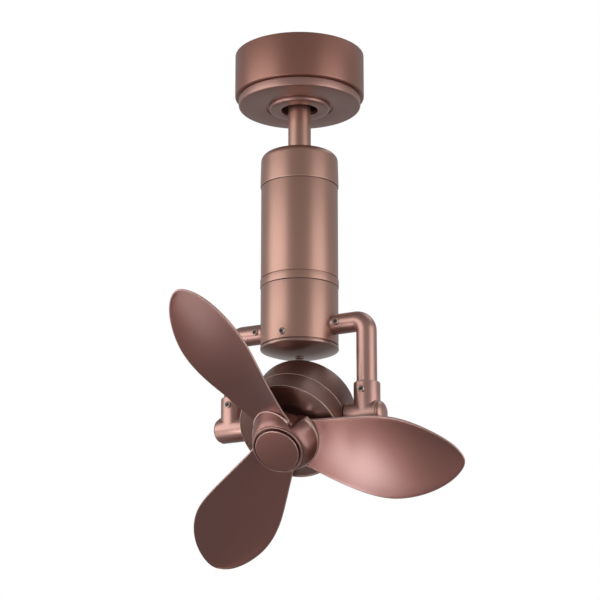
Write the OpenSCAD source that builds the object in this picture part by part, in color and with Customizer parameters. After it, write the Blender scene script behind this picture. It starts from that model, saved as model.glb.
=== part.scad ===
// Orbital ceiling fan: a small tilting fan head on two arms, turned round and
// round by a gear motor in the body that hangs from a ball in the ceiling bracket.
// Z is up, the ceiling is the plane Z = 0, and the fan head looks along -Y and down.

/* [Ceiling canopy] */
// Outer radius of the canopy wall
canopy_r = 72.5; // [68:0.5:80]
// Height of the canopy wall below the ceiling
canopy_h = 51; // [46:1:60]
// Wall thickness of the canopy and of its cover
canopy_wall = 1.5; // [1:0.1:2]
// Outer radius of the cover that snaps on below the canopy
cover_r = 68.5; // [64:0.5:71]
// Height of the cover
cover_h = 10; // [8:0.5:14]
// Radius of the round opening in the cover
cover_hole_r = 38; // [36:0.5:44]
// Outer radius of the soft collar in that opening
collar_r = 34.3; // [31:0.1:35]
// Radius of the hole that the rod hangs through
collar_hole_r = 20.5; // [19.5:0.5:24]
// How far the collar stands out below the cover
collar_drop = 4; // [2:0.5:6]

/* [Ceiling bracket and hanger ball] */
// Radius of the bracket's ceiling plate
plate_r = 66; // [62:1:68]
// Sheet thickness of the bracket
plate_t = 3; // [2.5:0.5:4]
// Distance between the two slots for the ceiling screws
slot_spacing = 100; // [92:1:108]
// Radius of a slot's round ends
slot_r = 2.75; // [2.25:0.25:3.5]
// Length of a slot from end to end
slot_length = 14; // [10:1:18]
// Radius of the hanger ball
ball_r = 19; // [18:0.5:20]
// Depth of the ball's centre below the ceiling
ball_depth = 30; // [27:1:32]

/* [Downrod] */
// Outer radius of the downrod
rod_r = 12.7; // [11:0.1:13.5]
// Wall thickness of the downrod
rod_wall = 1.8; // [1.2:0.1:3]
// Radius of the two cross pins through the rod
pin_r = 2.5; // [2:0.25:3]

/* [Upper body] */
// Depth of the top of the body below the ceiling
body_top = 119.5; // [110:0.5:200]
// Outer radius of the body tube
body_r = 42.6; // [41:0.1:48]
// Wall thickness of the body tubes
body_wall = 2; // [1.5:0.1:2.5]
// Height of the upper cap
cap_h = 38.2; // [34:0.2:48]
// Radius of the cap's rounded top edge
cap_round = 8; // [4:0.5:14]
// How far the cap's skirt stands out past the tube
cap_flare = 0.9; // [0.2:0.1:1.5]
// Height of the plain body tube
tube_h = 107.9; // [100:0.1:160]
// Height of the trim ring
ring_h = 8.6; // [7.6:0.2:12]
// How far the trim ring stands out past the tube
ring_stand = 0.6; // [0.2:0.1:1.2]

/* [Orbit drive] */
// Gear module
gear_module = 1.25; // [1:0.05:1.3]
// Teeth on the orbit gear
gear_teeth = 32; // [30:2:34]
// Teeth on the drive pinion
pinion_teeth = 12; // [12:2:14]
// Face width of the gears
gear_width = 6; // [4:0.5:7]
// Outer radius of the hollow orbit spindle
spindle_r = 7.5; // [6.5:0.25:8]
// Outer radius of the spindle bearing
bearing_r = 14; // [13:0.5:15]
// Height of the spindle bearing
bearing_h = 7; // [5:0.5:8]
// Radius of the orbit gear motor
gearmotor_r = 12; // [10:0.5:12]
// Length of the orbit gear motor
gearmotor_h = 42; // [30:1:60]

/* [Orbiting housing] */
// Height of the orbiting housing's wall
housing_h = 65.4; // [62:0.2:80]
// Height of the dome's visible rim
dome_rim_h = 4.3; // [3:0.1:6]
// Depth of the dome below its rim
dome_depth = 8.5; // [5:0.5:12]
// Running gap between the trim ring and the orbiting housing
orbit_gap = 0.4; // [0.3:0.1:0.8]

/* [Arms] */
// Distance from the main axis to an arm's vertical tube
arm_x = 80.5; // [80:0.5:90]
// Outer radius of an arm tube
arm_r = 11.1; // [10:0.1:11.6]
// Wall thickness of an arm tube
arm_wall = 1.5; // [1:0.1:2]
// Centreline radius of an arm's bend
bend_r = 12; // [11.5:0.5:18]
// Height of an arm's axis above the edge of the dome's rim
arm_above_rim = 19.5; // [18:0.5:26]
// Drop from an arm's horizontal axis to the tilt axis
arm_drop = 103.8; // [100:0.2:130]

/* [Tee joints] */
// Outer radius of a tee's socket and barrel
tee_r = 14.3; // [13.8:0.1:15.2]
// Height of the top of a tee's socket above the tilt axis
socket_h = 35; // [32:0.5:45]
// Length of a tee's barrel
barrel_l = 36.4; // [35.2:0.2:44]
// Radius of the trunnion shafts that carry the fan head
trunnion_r = 8; // [7:0.25:9]
// Length of the domed end cap outside the barrel
end_cap_l = 7.2; // [6:0.1:12]

/* [Fan head] */
// Downward tilt of the fan head in the stored pose
head_tilt = 42.5; // [20:0.5:70]
// Height of the motor axis above the tilt axis
axis_rise = 4.6; // [3:0.2:5.4]
// Outer radius of the motor drum
drum_r = 57; // [54:0.5:57]
// Wall thickness of the motor drum
drum_wall = 2; // [1.5:0.1:2.5]
// Length of the drum in front of the tilt axis
drum_front = 28; // [26:0.5:34]
// Length of the drum behind the tilt axis
drum_back = 36; // [33:0.5:37]
// Distance of the shell joint in front of the tilt axis
shell_joint = 2.5; // [0:0.5:4]
// Radius of the drum's rounded back edge
drum_round = 12; // [8:0.5:14]
// Radius of the motor shaft
shaft_r = 4; // [3:0.25:5]

/* [Rotor] */
// Outer radius of the hub's front ring
hub_r = 28.9; // [27:0.1:32]
// Distance of the hub's face in front of the tilt axis
hub_face = 66.3; // [64:0.1:72]
// Radius of the cap in the hub's face
hub_cap_r = 23.6; // [22:0.1:24.2]
// Direction of the first blade at rest
blade_phase = -12.6; // [-60:0.2:60]
// Distance of the blades' root line in front of the tilt axis
blade_seat = 32.4; // [31:0.1:36]
// Blade thickness at the root
blade_root_t = 4.4; // [3:0.1:5]
// Blade thickness at the tip
blade_tip_t = 2.4; // [1.6:0.1:3]
// Pitch of the blade at half its reach, in degrees
blade_pitch = 15.8; // [12:0.2:20]
// Change of pitch from the root to the tip, in degrees
blade_twist = 24.5; // [16:0.5:28]
// Reach that the blade's outline is drawn at
blade_reach = 203; // [190:1:220]

/* [Hidden] */
$fn = 72;

// Clearances
fit = 0.05;            // radial play of a shaft in its own bore
seat = 0.02;           // radial play of a pressed or clamped piece
slip = 0.3;            // gap between pieces that pass each other
eps = 0.5;             // how far a cutting tool reaches past a face

// Colours
bronze = [0.50, 0.35, 0.31];
bronze_dark = [0.38, 0.25, 0.23];
steel = [0.62, 0.63, 0.65];
screw_steel = [0.36, 0.35, 0.33];
black = [0.08, 0.08, 0.08];
copper = [0.72, 0.42, 0.22];

// Levels along the main axis
ball_z = -ball_depth;
cover_bottom = -canopy_h - 0.8 - cover_h;
cap_bottom = -body_top - cap_h;
tube_bottom = cap_bottom - tube_h;
ring_bottom = tube_bottom - ring_h;
housing_top = ring_bottom - orbit_gap;
housing_bottom = housing_top - housing_h;
rim_bottom = housing_bottom - dome_rim_h;
arm_z = rim_bottom + dome_rim_h + arm_above_rim;
pivot_z = arm_z - arm_drop;
body_in = body_r - body_wall;

// Inside the upper body. The coupling's flange stands on the tube's upper end, and the
// gear plate's rim lies under its lower end.
coupling_flange_t = 4;
coupling_bush_r = rod_r + 6.3;
coupling_pin_drop = 21;
flange_z = cap_bottom;
flange_r = body_r - 0.6;
cable_bore_r = 6;
rod_end = flange_z + 2;
tie_rod_r = 2;
tie_head_r = 3.6;
tie_head_h = 3;
tie_ring_r = body_in - 2 - tie_head_r - 0.6;
tie_angles = [90, 210, 330];
driver_l = 50;
driver_w = 36;
driver_h = 24;
gear_plate_t = 3;
rim_t = 2;
rim_r = body_r - 0.3;
post_r = 2.5;
post_h = 21;
slip_ring_r = 10;
slip_ring_h = 24;
slip_ring_stem = 12;
motor_nose_r = 8;
motor_clear = 0.95;
gear_plate_z = tube_bottom + 8.8;
gear_z = gear_plate_z - 12;
centre_distance = gear_module * (gear_teeth + pinion_teeth) / 2 + 0.15;
gearmotor_shaft_r = 2.5;
boss_wall = 3;
spindle_bore_r = spindle_r - 2;
post_y = bearing_r + boss_wall + 3;

// Arms and tees
stub_r = arm_r - arm_wall - 0.1;
stub_end = body_r + 14;
block_h = 30;
arm_start = body_in - 2;
arm_play = 0.25;
barrel_in = drum_r + 1.4;
barrel_out = max(barrel_in + barrel_l, arm_x + tee_r + 0.1);
plug_r = 11;
plug_h = 4;
socket_floor = 14.5;
screw_head_r = 3.25;
screw_head_h = 1.3;
screw_shank_r = 1.7;
arm_screw_x = body_r + 6.4;
tee_screw_h = 25;

// Fan head
blade_count = 3;
drum_in = drum_r - drum_wall;
boss_r = 14.5;
boss_face = drum_r + 0.2;
nut_r = 10.5;
nut_t = 3.6;
nut_x = sqrt(pow(drum_in, 2) - pow(axis_rise + nut_r, 2)) - nut_t - 0.05;
motor_plate_h = 13;
bearing_out = 9.5;
pocket_r = bearing_out + seat;
bearing_boss_r = 13;
stator_r = 44;
stator_bore_r = 28;
stator_back = -24;
stator_h = 20;

// ---------------------------------------------------------------- helpers

// Points of an arc in the plane, from angle a0 to a1
function arc(cx, cy, r, a0, a1, n = 8) =
    [for (i = [0:n]) [cx + r * cos(a0 + (a1 - a0) * i / n), cy + r * sin(a0 + (a1 - a0) * i / n)]];

// A ring about Z between two heights
module ring(r_out, r_in, z0, z1) {
    difference() {
        translate([0, 0, z0]) cylinder(r = r_out, h = z1 - z0);
        translate([0, 0, z0 - eps]) cylinder(r = r_in, h = z1 - z0 + 2 * eps);
    }
}

// A rod about Z between two heights
module rod(r, z0, z1) {
    translate([0, 0, z0]) cylinder(r = r, h = z1 - z0);
}

// A rod along X between two places
module rod_x(r, x0, x1) {
    translate([min(x0, x1), 0, 0]) rotate([0, 90, 0]) cylinder(r = r, h = abs(x1 - x0));
}

// A screw with a low rounded head, its seat at the origin and its head towards -Y
module side_screw(shank_l) {
    rotate([90, 0, 0]) {
        rotate_extrude() polygon([
            [0, 0], [screw_head_r, 0], [screw_head_r, screw_head_h * 0.45],
            [screw_head_r * 0.75, screw_head_h * 0.88], [0, screw_head_h]
        ]);
        translate([0, 0, -shank_l]) cylinder(r = screw_shank_r, h = shank_l + 0.1);
    }
}

// The hole that such a screw needs, from the seat inwards
module side_screw_hole(length) {
    rotate([-90, 0, 0]) translate([0, 0, -eps - 4]) cylinder(r = screw_shank_r + seat, h = length + eps + 4);
}

// Puts its children at the fan head: Z is the motor axis, pointing out of the front,
// and X is the tilt axis. The origin is the foot of the tilt axis on the motor axis.
module at_head() {
    translate([0, 0, pivot_z]) rotate([90 + head_tilt, 0, 0]) translate([0, axis_rise, 0]) children();
}

// ---------------------------------------------------------------- ceiling side

foot_y = 47;
foot_end = 54;
leg_y = 23.4;
leg_w = 22;
socket_top = ball_z - 3;
socket_bottom = ball_z - 12;
socket_r = ball_r + 5;
foot_z = -canopy_h + canopy_wall;
canopy_hole_r = cover_hole_r + 2;
cable_hole_r = 14;
neck_r = rod_r + 2.6;

module ceiling_slot() {
    half = slot_length / 2 - slot_r;
    for (dx = [-half, half]) translate([dx, 0, -plate_t - eps]) cylinder(r = slot_r, h = plate_t + 2 * eps);
    translate([-half, -slot_r, -plate_t - eps]) cube([2 * half, 2 * slot_r, plate_t + 2 * eps]);
}

// Ceiling plate, two legs with feet for the canopy, and the open socket for the ball
module ceiling_bracket() {
    color(steel) difference() {
        union() {
            rod(plate_r, -plate_t, 0);
            for (side = [0, 180]) rotate([0, 0, side]) {
                translate([-leg_w / 2, leg_y, foot_z]) cube([leg_w, plate_t, -foot_z - plate_t / 2]);
                translate([-leg_w / 2, leg_y, foot_z]) cube([leg_w, foot_end - leg_y, plate_t]);
            }
            rotate_extrude() difference() {
                translate([0, socket_bottom]) square([socket_r, socket_top - socket_bottom]);
                translate([0, ball_z]) circle(r = ball_r + slip);
            }
        }
        for (side = [-1, 1]) translate([side * slot_spacing / 2, 0, 0]) ceiling_slot();
        translate([0, 0, -plate_t - eps]) cylinder(r = cable_hole_r, h = plate_t + 2 * eps);
        translate([0, 0, socket_bottom - eps]) cylinder(r = neck_r, h = ball_r / 3);
        // the way in for the rod, from one side
        translate([0, -rod_r - 1, socket_bottom - eps]) cube([2 * socket_r, 2 * rod_r + 2, ball_r]);
        for (side = [-1, 1]) translate([0, side * foot_y, foot_z - eps])
            cylinder(r = screw_shank_r + seat, h = 8);
    }
}

module terminal_block() {
    color("white") difference() {
        translate([-15, 40, -plate_t - 12]) cube([30, 12, 12]);
        for (i = [-1:1]) translate([i * 9, 46, -plate_t - 12 - eps]) cylinder(r = 2, h = 6);
    }
}

module wireless_receiver() {
    color(black) translate([-24, -52, -plate_t - 18]) cube([48, 22, 18]);
}

module canopy() {
    color(bronze) difference() {
        rotate_extrude() polygon(concat(
            [[canopy_r - canopy_wall, -0.5], [canopy_r, -0.5]],
            arc(canopy_r - 3, -canopy_h + 3, 3, 0, -90, 5),
            [[canopy_hole_r, -canopy_h], [canopy_hole_r, foot_z],
             [canopy_r - 4, foot_z], [canopy_r - canopy_wall, -canopy_h + 4]]
        ));
        for (side = [-1, 1]) translate([0, side * foot_y, -canopy_h - eps])
            cylinder(r = screw_shank_r + seat, h = canopy_wall + 2 * eps);
    }
}

// Screws that hold the canopy's floor up against the bracket's feet
module canopy_screws() {
    color(screw_steel) for (side = [-1, 1]) translate([0, side * foot_y, -canopy_h])
        rotate([90, 0, 0]) side_screw(6);
}

// Cover that snaps on below the canopy and hides its screws. Its lip stands under the
// canopy's flat floor and inside the cover's own edge.
module canopy_cover() {
    top = -canopy_h - 0.8;
    chamfer = 2.2;
    lip = min(cover_r, canopy_r - 4) - chamfer;
    inner = lip - canopy_wall;
    color(bronze) rotate_extrude() polygon([
        [inner, -canopy_h], [lip, -canopy_h], [lip, top],
        [cover_r - 0.6, top], [cover_r, top - 0.6], [cover_r, cover_bottom + chamfer],
        [cover_r - chamfer, cover_bottom], [cover_hole_r, cover_bottom],
        [cover_hole_r, cover_bottom + canopy_wall], [inner, cover_bottom + canopy_wall]
    ]);
}

module canopy_collar() {
    bottom = cover_bottom - collar_drop;
    round_r = 3;
    color(bronze) rotate_extrude() polygon(concat(
        [[collar_hole_r, bottom + 6], [collar_hole_r, bottom]],
        arc(collar_r - round_r, bottom + round_r, round_r, -90, 0, 5),
        [[collar_r, cover_bottom + canopy_wall], [cover_hole_r + 4, cover_bottom + canopy_wall],
         [cover_hole_r + 4, cover_bottom + canopy_wall + 2], [collar_r - 2, cover_bottom + canopy_wall + 2],
         [collar_r - 2, bottom + 6]]
    ));
}

// ---------------------------------------------------------------- downrod and ball

rod_pin_z = -body_top - coupling_pin_drop;
rod_top = ball_z + 17;

module pin_hole(z, length) {
    translate([0, 0, z]) rod_x(pin_r + fit, -length / 2, length / 2);
}

// Ball on the rod's upper end, cut flat above and below
module hanger_ball() {
    color(steel) difference() {
        rotate_extrude() difference() {
            intersection() {
                translate([0, ball_z]) circle(r = ball_r);
                translate([0, ball_z - ball_r * 0.8]) square([ball_r + 1, ball_r * 1.6]);
            }
            translate([-1, ball_z - ball_r]) square([rod_r + seat + 1, 2 * ball_r]);
        }
        pin_hole(ball_z, 3 * ball_r);
    }
}

module ball_pin() {
    half = ball_r - 1;
    color(steel) translate([0, 0, ball_z]) rod_x(pin_r, -half, half);
}

module downrod() {
    color(bronze) difference() {
        ring(rod_r, rod_r - rod_wall, rod_end, rod_top);
        pin_hole(ball_z, 3 * rod_r);
        pin_hole(rod_pin_z, 3 * rod_r);
    }
}

// ---------------------------------------------------------------- upper body

module tie_holes(r, z0, z1) {
    for (a = tie_angles) rotate([0, 0, a]) translate([tie_ring_r, 0, z0 - eps])
        cylinder(r = r, h = z1 - z0 + 2 * eps);
}

// Bush and flange that carry the body on the rod
module rod_coupling() {
    flange_top = flange_z + coupling_flange_t;
    color(steel) difference() {
        union() {
            rod(coupling_bush_r, flange_z, -body_top - body_wall - slip);
            rod(flange_r, flange_z, flange_top);
        }
        translate([0, 0, rod_end]) cylinder(r = rod_r + seat, h = cap_h);
        pin_hole(rod_pin_z, 3 * coupling_bush_r);
        tie_holes(tie_rod_r + seat, flange_z, flange_top);
        translate([0, 0, flange_z - eps]) cylinder(r = cable_bore_r, h = coupling_flange_t + 1);
    }
}

module coupling_pin() {
    color(steel) translate([0, 0, rod_pin_z]) rod_x(pin_r, -coupling_bush_r - 2, coupling_bush_r + 2);
}

// Cap that slips over the flange from above and rests on it with a step
module upper_cap() {
    top = -body_top;
    skirt = body_r + cap_flare;
    inner = body_in - 0.4;
    step_z = flange_z + coupling_flange_t;
    corner_r = body_r - cap_round;
    color(bronze) rotate_extrude() polygon(concat(
        [[rod_r + 0.5, top - body_wall], [rod_r + 0.5, top]],
        arc(corner_r, top - cap_round, cap_round, 90, 0, 10),
        [[skirt, cap_bottom + 1.2], [skirt - 0.5, cap_bottom], [flange_r + 0.1, cap_bottom],
         [flange_r + 0.1, step_z], [inner, step_z]],
        arc(inner - cap_round + body_wall, top - cap_round, cap_round - body_wall, 0, 90, 8)
    ));
}

module fan_driver() {
    wall = 3;
    color(black) translate([-driver_l / 2, -driver_w / 2, flange_z - driver_h]) difference() {
        cube([driver_l, driver_w, driver_h]);
        translate([wall, wall, -eps]) cube([driver_l - 2 * wall, driver_w - 2 * wall, wall + eps]);
    }
}

module tie_rods() {
    high = flange_z + coupling_flange_t;
    color(steel) for (a = tie_angles) rotate([0, 0, a]) translate([tie_ring_r, 0, 0]) {
        rod(tie_rod_r, gear_plate_z - 1, high + 0.5);
        rod(tie_head_r, high, high + tie_head_h);
        rod(tie_head_r, gear_plate_z - tie_head_h, gear_plate_z);
    }
}

module body_tube() {
    color(bronze) ring(body_r, body_in, tube_bottom, cap_bottom);
}

// Plate across the tube that carries the bearing, the slip ring and the gear motor.
// Its skirt ends in the rim under the tube, and the trim ring is pressed over both.
module gear_plate() {
    top = gear_plate_z + gear_plate_t;
    outer = body_in - 0.1;
    color(steel) difference() {
        union() {
            rod(outer, gear_plate_z, top);
            ring(outer, outer - 2, ring_bottom + 2, gear_plate_z + 1);
            ring(rim_r, outer - 1, tube_bottom - rim_t, tube_bottom);
            rod(bearing_r + boss_wall, gear_plate_z - 3, top + bearing_h - 1);
            for (side = [-1, 1]) translate([0, side * post_y, 0]) rod(post_r, gear_plate_z + 1, top + post_h);
        }
        translate([0, 0, top - 1]) cylinder(r = bearing_r + seat, h = bearing_h + 1);
        translate([0, 0, gear_plate_z - 3 - eps]) cylinder(r = spindle_r + 2, h = bearing_h + 5);
        translate([centre_distance, 0, gear_plate_z - eps])
            cylinder(r = gearmotor_shaft_r + 1, h = gear_plate_t + 1);
        tie_holes(tie_rod_r + seat, gear_plate_z, top);
    }
}

module spindle_bearing() {
    bottom = gear_plate_z + gear_plate_t - 1;
    mid = (spindle_r + bearing_r) / 2;
    color(steel) difference() {
        ring(bearing_r, spindle_r + fit, bottom, bottom + bearing_h);
        // the shallow groove over the balls, between the races
        translate([0, 0, bottom + bearing_h - 0.8]) difference() {
            cylinder(r = mid + 1.4, h = 2);
            translate([0, 0, -1]) cylinder(r = mid - 1.4, h = 4);
        }
    }
}

// Capsule that passes the current to the orbiting part, on the gear plate's posts
module slip_ring() {
    seat_z = gear_plate_z + gear_plate_t + post_h;
    foot_w = 2 * post_r + 7;
    color(black) {
        rod(slip_ring_r, seat_z, seat_z + slip_ring_h);
        translate([-foot_w / 2, -post_y - post_r - 0.5, seat_z])
            cube([foot_w, 2 * post_y + 2 * post_r + 1, 2]);
        rod(spindle_bore_r - 0.5, seat_z - slip_ring_stem, seat_z + 1);
    }
}

// Gear motor: a nose round its shaft, which stands on the plate beside the bearing's
// boss, and a can above it that keeps clear of the tube
module orbit_gearmotor() {
    bottom = gear_plate_z + gear_plate_t;
    top = bottom + gearmotor_h;
    can_x = body_in - gearmotor_r - motor_clear;
    color(steel) difference() {
        union() {
            translate([centre_distance, 0, 0]) rod(motor_nose_r, bottom, bottom + bearing_h + 1);
            translate([can_x, 0, 0]) rod(gearmotor_r, bottom + bearing_h, top);
            translate([can_x, 0, 0]) rod(gearmotor_r * 0.4, top - 1, top + 2);
        }
        translate([centre_distance, 0, bottom - eps]) cylinder(r = gearmotor_shaft_r + fit, h = 15);
    }
}

// Trim ring that closes the gap above the orbiting housing. Its upper bore fits the rim.
module trim_ring() {
    outer = body_r + ring_stand;
    step_z = tube_bottom - rim_t;
    color(bronze) rotate_extrude() polygon([
        [body_in, ring_bottom], [outer - 0.4, ring_bottom], [outer, ring_bottom + 0.4],
        [outer, tube_bottom - 0.4], [outer - 0.4, tube_bottom], [rim_r + seat, tube_bottom],
        [rim_r + seat, step_z], [body_in, step_z]
    ]);
}

// ---------------------------------------------------------------- gears

pressure_angle = 25;

// Turn of an involute where it has left its base circle for radius r
function involute_turn(base, r) =
    let (a = acos(min(1, base / r))) tan(a) * 180 / PI - a;

// One flank of a tooth, from root to tip, as [radius, half angle] pairs
function tooth_flank(pitch, base, root, tip, half_tooth, n = 5) =
    [for (i = [0:n]) let (r = root + (tip - root) * i / n, rr = max(r, base))
        [r, half_tooth + involute_turn(base, pitch) - involute_turn(base, rr)]];

// Outline of a spur gear with its first tooth centred on +X
function gear_outline(teeth, backlash = 0.16) =
    let (
        pitch = gear_module * teeth / 2,
        base = pitch * cos(pressure_angle),
        root = pitch - 1.2 * gear_module,
        tip = pitch + 0.92 * gear_module,
        half_tooth = 90 / teeth - backlash / pitch * 180 / PI / 2,
        flank = tooth_flank(pitch, base, root, tip, half_tooth),
        last = len(flank) - 1
    )
    [for (k = [0:teeth - 1]) each concat(
        [for (i = [0:last]) let (a = 360 * k / teeth - flank[i][1]) flank[i][0] * [cos(a), sin(a)]],
        [for (i = [last:-1:0]) let (a = 360 * k / teeth + flank[i][1]) flank[i][0] * [cos(a), sin(a)]]
    )];

module drive_pinion() {
    color(steel) translate([centre_distance, 0, gear_z]) rotate([0, 0, 180 / pinion_teeth]) difference() {
        linear_extrude(gear_width) polygon(gear_outline(pinion_teeth));
        translate([0, 0, -eps]) cylinder(r = gearmotor_shaft_r + seat, h = gear_width + 2 * eps);
    }
}

module gearmotor_shaft() {
    color(steel) translate([centre_distance, 0, 0]) {
        rod(gearmotor_shaft_r, gear_z - 1, gear_plate_z + gear_plate_t + 13);
        rod(gearmotor_shaft_r + 1.4, gear_z - 2.2, gear_z - 0.001);
    }
}

module orbit_gear() {
    color([0.85, 0.83, 0.76]) difference() {
        union() {
            translate([0, 0, gear_z]) linear_extrude(gear_width) polygon(gear_outline(gear_teeth));
            rod(spindle_r + 4.5, housing_top, gear_z + 1);
        }
        translate([0, 0, housing_top - eps])
            cylinder(r = spindle_r + seat, h = gear_z - housing_top + 2 * gear_width);
    }
}

// ---------------------------------------------------------------- orbiting housing

nut_z = gear_plate_z + gear_plate_t - 1 + bearing_h + 0.1;
spindle_top = nut_z + 5.5;
block_top = arm_z + block_h / 2;
spindle_foot = block_top - 12;

// Hollow spindle that hangs in the bearing and carries everything that orbits
module orbit_spindle() {
    color(steel) ring(spindle_r, spindle_bore_r, spindle_foot, spindle_top);
}

module spindle_nut() {
    color(steel) difference() {
        translate([0, 0, nut_z]) cylinder(r = 11, h = 5, $fn = 6);
        translate([0, 0, nut_z - eps]) cylinder(r = spindle_r + seat, h = 8);
    }
}

module orbit_housing() {
    top_t = 3;
    color(bronze) difference() {
        union() {
            ring(body_r, body_in, housing_bottom, housing_top);
            rod(body_in + 0.1, housing_top - top_t, housing_top);
        }
        translate([0, 0, housing_top - top_t - eps]) cylinder(r = spindle_r + seat, h = top_t + 2 * eps);
        translate([0, 0, arm_z]) rod_x(arm_r + arm_play, -body_r - 5, body_r + 5);
        for (side = [0, 180]) rotate([0, 0, side]) translate([0, -body_r, housing_screw_z])
            side_screw_hole(6);
    }
}

housing_screw_z = housing_bottom + 7.2;

// Cross block inside the housing, with a round stub for each arm
module arm_block() {
    half_l = body_in - 10.6;
    half_w = stub_r + 5;
    color(steel) difference() {
        union() {
            translate([-half_l, -half_w, arm_z - block_h / 2]) cube([2 * half_l, 2 * half_w, block_h]);
            translate([0, 0, arm_z]) rod_x(stub_r, -stub_end, stub_end);
        }
        translate([0, 0, spindle_foot]) cylinder(r = spindle_r + seat, h = block_h);
        translate([0, 0, arm_z - block_h / 2 - eps]) cylinder(r = 2 + seat, h = 14);
        for (side = [-1, 1]) translate([side * arm_screw_x, -arm_r, arm_z]) side_screw_hole(7);
    }
}

// Shallow dome with a rim that shows below the housing, and a spigot inside it
module bottom_dome() {
    centre_z = rim_bottom - dome_depth;
    edge_r = body_r + 0.3;
    spigot_r = body_in - 0.15;
    spigot_h = 14;
    dome_r = (edge_r * edge_r + dome_depth * dome_depth) / (2 * dome_depth);
    half_angle = asin(edge_r / dome_r);
    color(bronze) difference() {
        rotate_extrude() polygon(concat(
            arc(0, centre_z + dome_r, dome_r, -90, -90 + half_angle, 10),
            [[edge_r, housing_bottom - 1.6], [edge_r - 0.5, housing_bottom - 1],
             [body_r - 1, housing_bottom - 1], [body_r - 1, housing_bottom],
             [spigot_r, housing_bottom], [spigot_r, housing_bottom + spigot_h],
             [spigot_r - 2, housing_bottom + spigot_h], [spigot_r - 2, rim_bottom + 1.5]],
            arc(0, centre_z + dome_r, dome_r - 2, -90 + half_angle * 0.86, -90, 9)
        ));
        translate([0, 0, centre_z - 2]) cylinder(r = 2 + seat, h = 8);
        translate([0, 0, arm_z]) rod_x(arm_r + arm_play, -body_r, body_r);
        for (side = [0, 180]) rotate([0, 0, side]) translate([0, -body_r, housing_screw_z])
            side_screw_hole(6);
    }
}

// Long screw up through the dome into the arm block
module dome_screw() {
    low = rim_bottom - dome_depth;
    color(screw_steel) {
        rod(2, low - 0.5, arm_z - block_h / 2 + 10);
        rotate_extrude() polygon([[0, low - 2], [2.6, low - 2], [3.8, low - 1.1], [3.8, low], [0, low]]);
    }
}

module housing_screws() {
    color(screw_steel) for (side = [0, 180]) rotate([0, 0, side])
        translate([0, -body_r - 0.01, housing_screw_z]) side_screw(3.9);
}

// ---------------------------------------------------------------- arms and tees

// Bent tube from the housing out, round the bend and down into its tee
module bent_tube(r, over) {
    foot = pivot_z + socket_floor + 0.2;
    bend_x = arm_x - bend_r;
    translate([0, 0, arm_z]) rod_x(r, arm_start - over, bend_x);
    translate([bend_x, 0, arm_z - bend_r]) rotate([90, 0, 0])
        rotate_extrude(angle = 90) translate([bend_r, 0]) circle(r = r);
    translate([arm_x, 0, foot - over]) cylinder(r = r, h = arm_z - bend_r - foot + over);
}

module arm() {
    color(bronze) difference() {
        bent_tube(arm_r, 0);
        bent_tube(arm_r - arm_wall, eps);
        translate([arm_screw_x, -arm_r, arm_z]) side_screw_hole(4);
        translate([arm_x, -arm_r, pivot_z + tee_screw_h]) side_screw_hole(4);
    }
}

module arm_left() { mirror([1, 0, 0]) arm(); }
module arm_right() { arm(); }

module arm_screws() {
    color(screw_steel) for (side = [-1, 1]) translate([side * arm_screw_x, -arm_r - 0.01, arm_z])
        side_screw(5);
}

// Socket for the arm above a barrel for the trunnion
module tee() {
    color(bronze) translate([0, 0, pivot_z]) difference() {
        union() {
            rod_x(tee_r, barrel_in, barrel_out);
            translate([arm_x, 0, 0]) rotate_extrude() polygon([
                [0, 0], [tee_r, 0], [tee_r, socket_h - 1.8], [tee_r - 1.8, socket_h], [0, socket_h]
            ]);
        }
        translate([arm_x, 0, socket_floor]) cylinder(r = arm_r + fit, h = socket_h);
        rod_x(trunnion_r + fit, barrel_in - eps, barrel_out);
        rod_x(plug_r, arm_x, barrel_out + eps);
        translate([arm_x, -tee_r, tee_screw_h]) side_screw_hole(8);
    }
}

module tee_left() { mirror([1, 0, 0]) tee(); }
module tee_right() { tee(); }

module tee_screws() {
    color(screw_steel) for (side = [-1, 1])
        translate([side * arm_x, -tee_r - 0.01, pivot_z + tee_screw_h]) side_screw(6);
}

// Domed plug in the outer end of a barrel
module tee_cap() {
    base = tee_r - 1.5;
    color(bronze) translate([barrel_out, 0, pivot_z]) rotate([0, 90, 0]) rotate_extrude() polygon(concat(
        [[0, -plug_h], [plug_r - 2 * fit, -plug_h], [plug_r - 2 * fit, 0], [base, 0]],
        [for (i = [1:9]) [base * cos(10 * i), end_cap_l * sin(10 * i)]]
    ));
}

module tee_cap_left() { mirror([1, 0, 0]) tee_cap(); }
module tee_cap_right() { tee_cap(); }

// ---------------------------------------------------------------- fan head

tab_r = boss_r - 1.3;

// Cylinder across the head on the tilt axis
module across(r) {
    translate([0, -axis_rise, 0]) rod_x(r, -drum_r - 10, drum_r + 10);
}

// Rear shell: a drum with a rounded back, a bearing boss, a seat for the stator,
// and two tabs that reach forward under the trunnions
module head_shell_rear() {
    back_z = -drum_back;
    inner_round = drum_round - drum_wall;
    color(bronze_dark) at_head() difference() {
        union() {
            rotate_extrude() polygon(concat(
                [[drum_in, shell_joint], [drum_r - 0.5, shell_joint], [drum_r, shell_joint - 0.5]],
                arc(drum_r - drum_round, back_z + drum_round, drum_round, 0, -90, 9),
                [[0, back_z - 2], [0, back_z + 1], [pocket_r, back_z + 1], [pocket_r, back_z + 10],
                 [bearing_boss_r, back_z + 10], [bearing_boss_r, back_z + drum_wall],
                 [stator_r - 4, back_z + drum_wall], [stator_r - 4, stator_back],
                 [stator_r + 2, stator_back], [stator_r + 2, back_z + drum_wall + 1]],
                arc(drum_r - drum_round, back_z + drum_round, inner_round, -70, 0, 7)
            ));
            intersection() {
                ring(drum_r, drum_in, shell_joint - 1, drum_front - 8);
                across(tab_r);
            }
        }
        across(trunnion_r + fit);
    }
}

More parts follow.
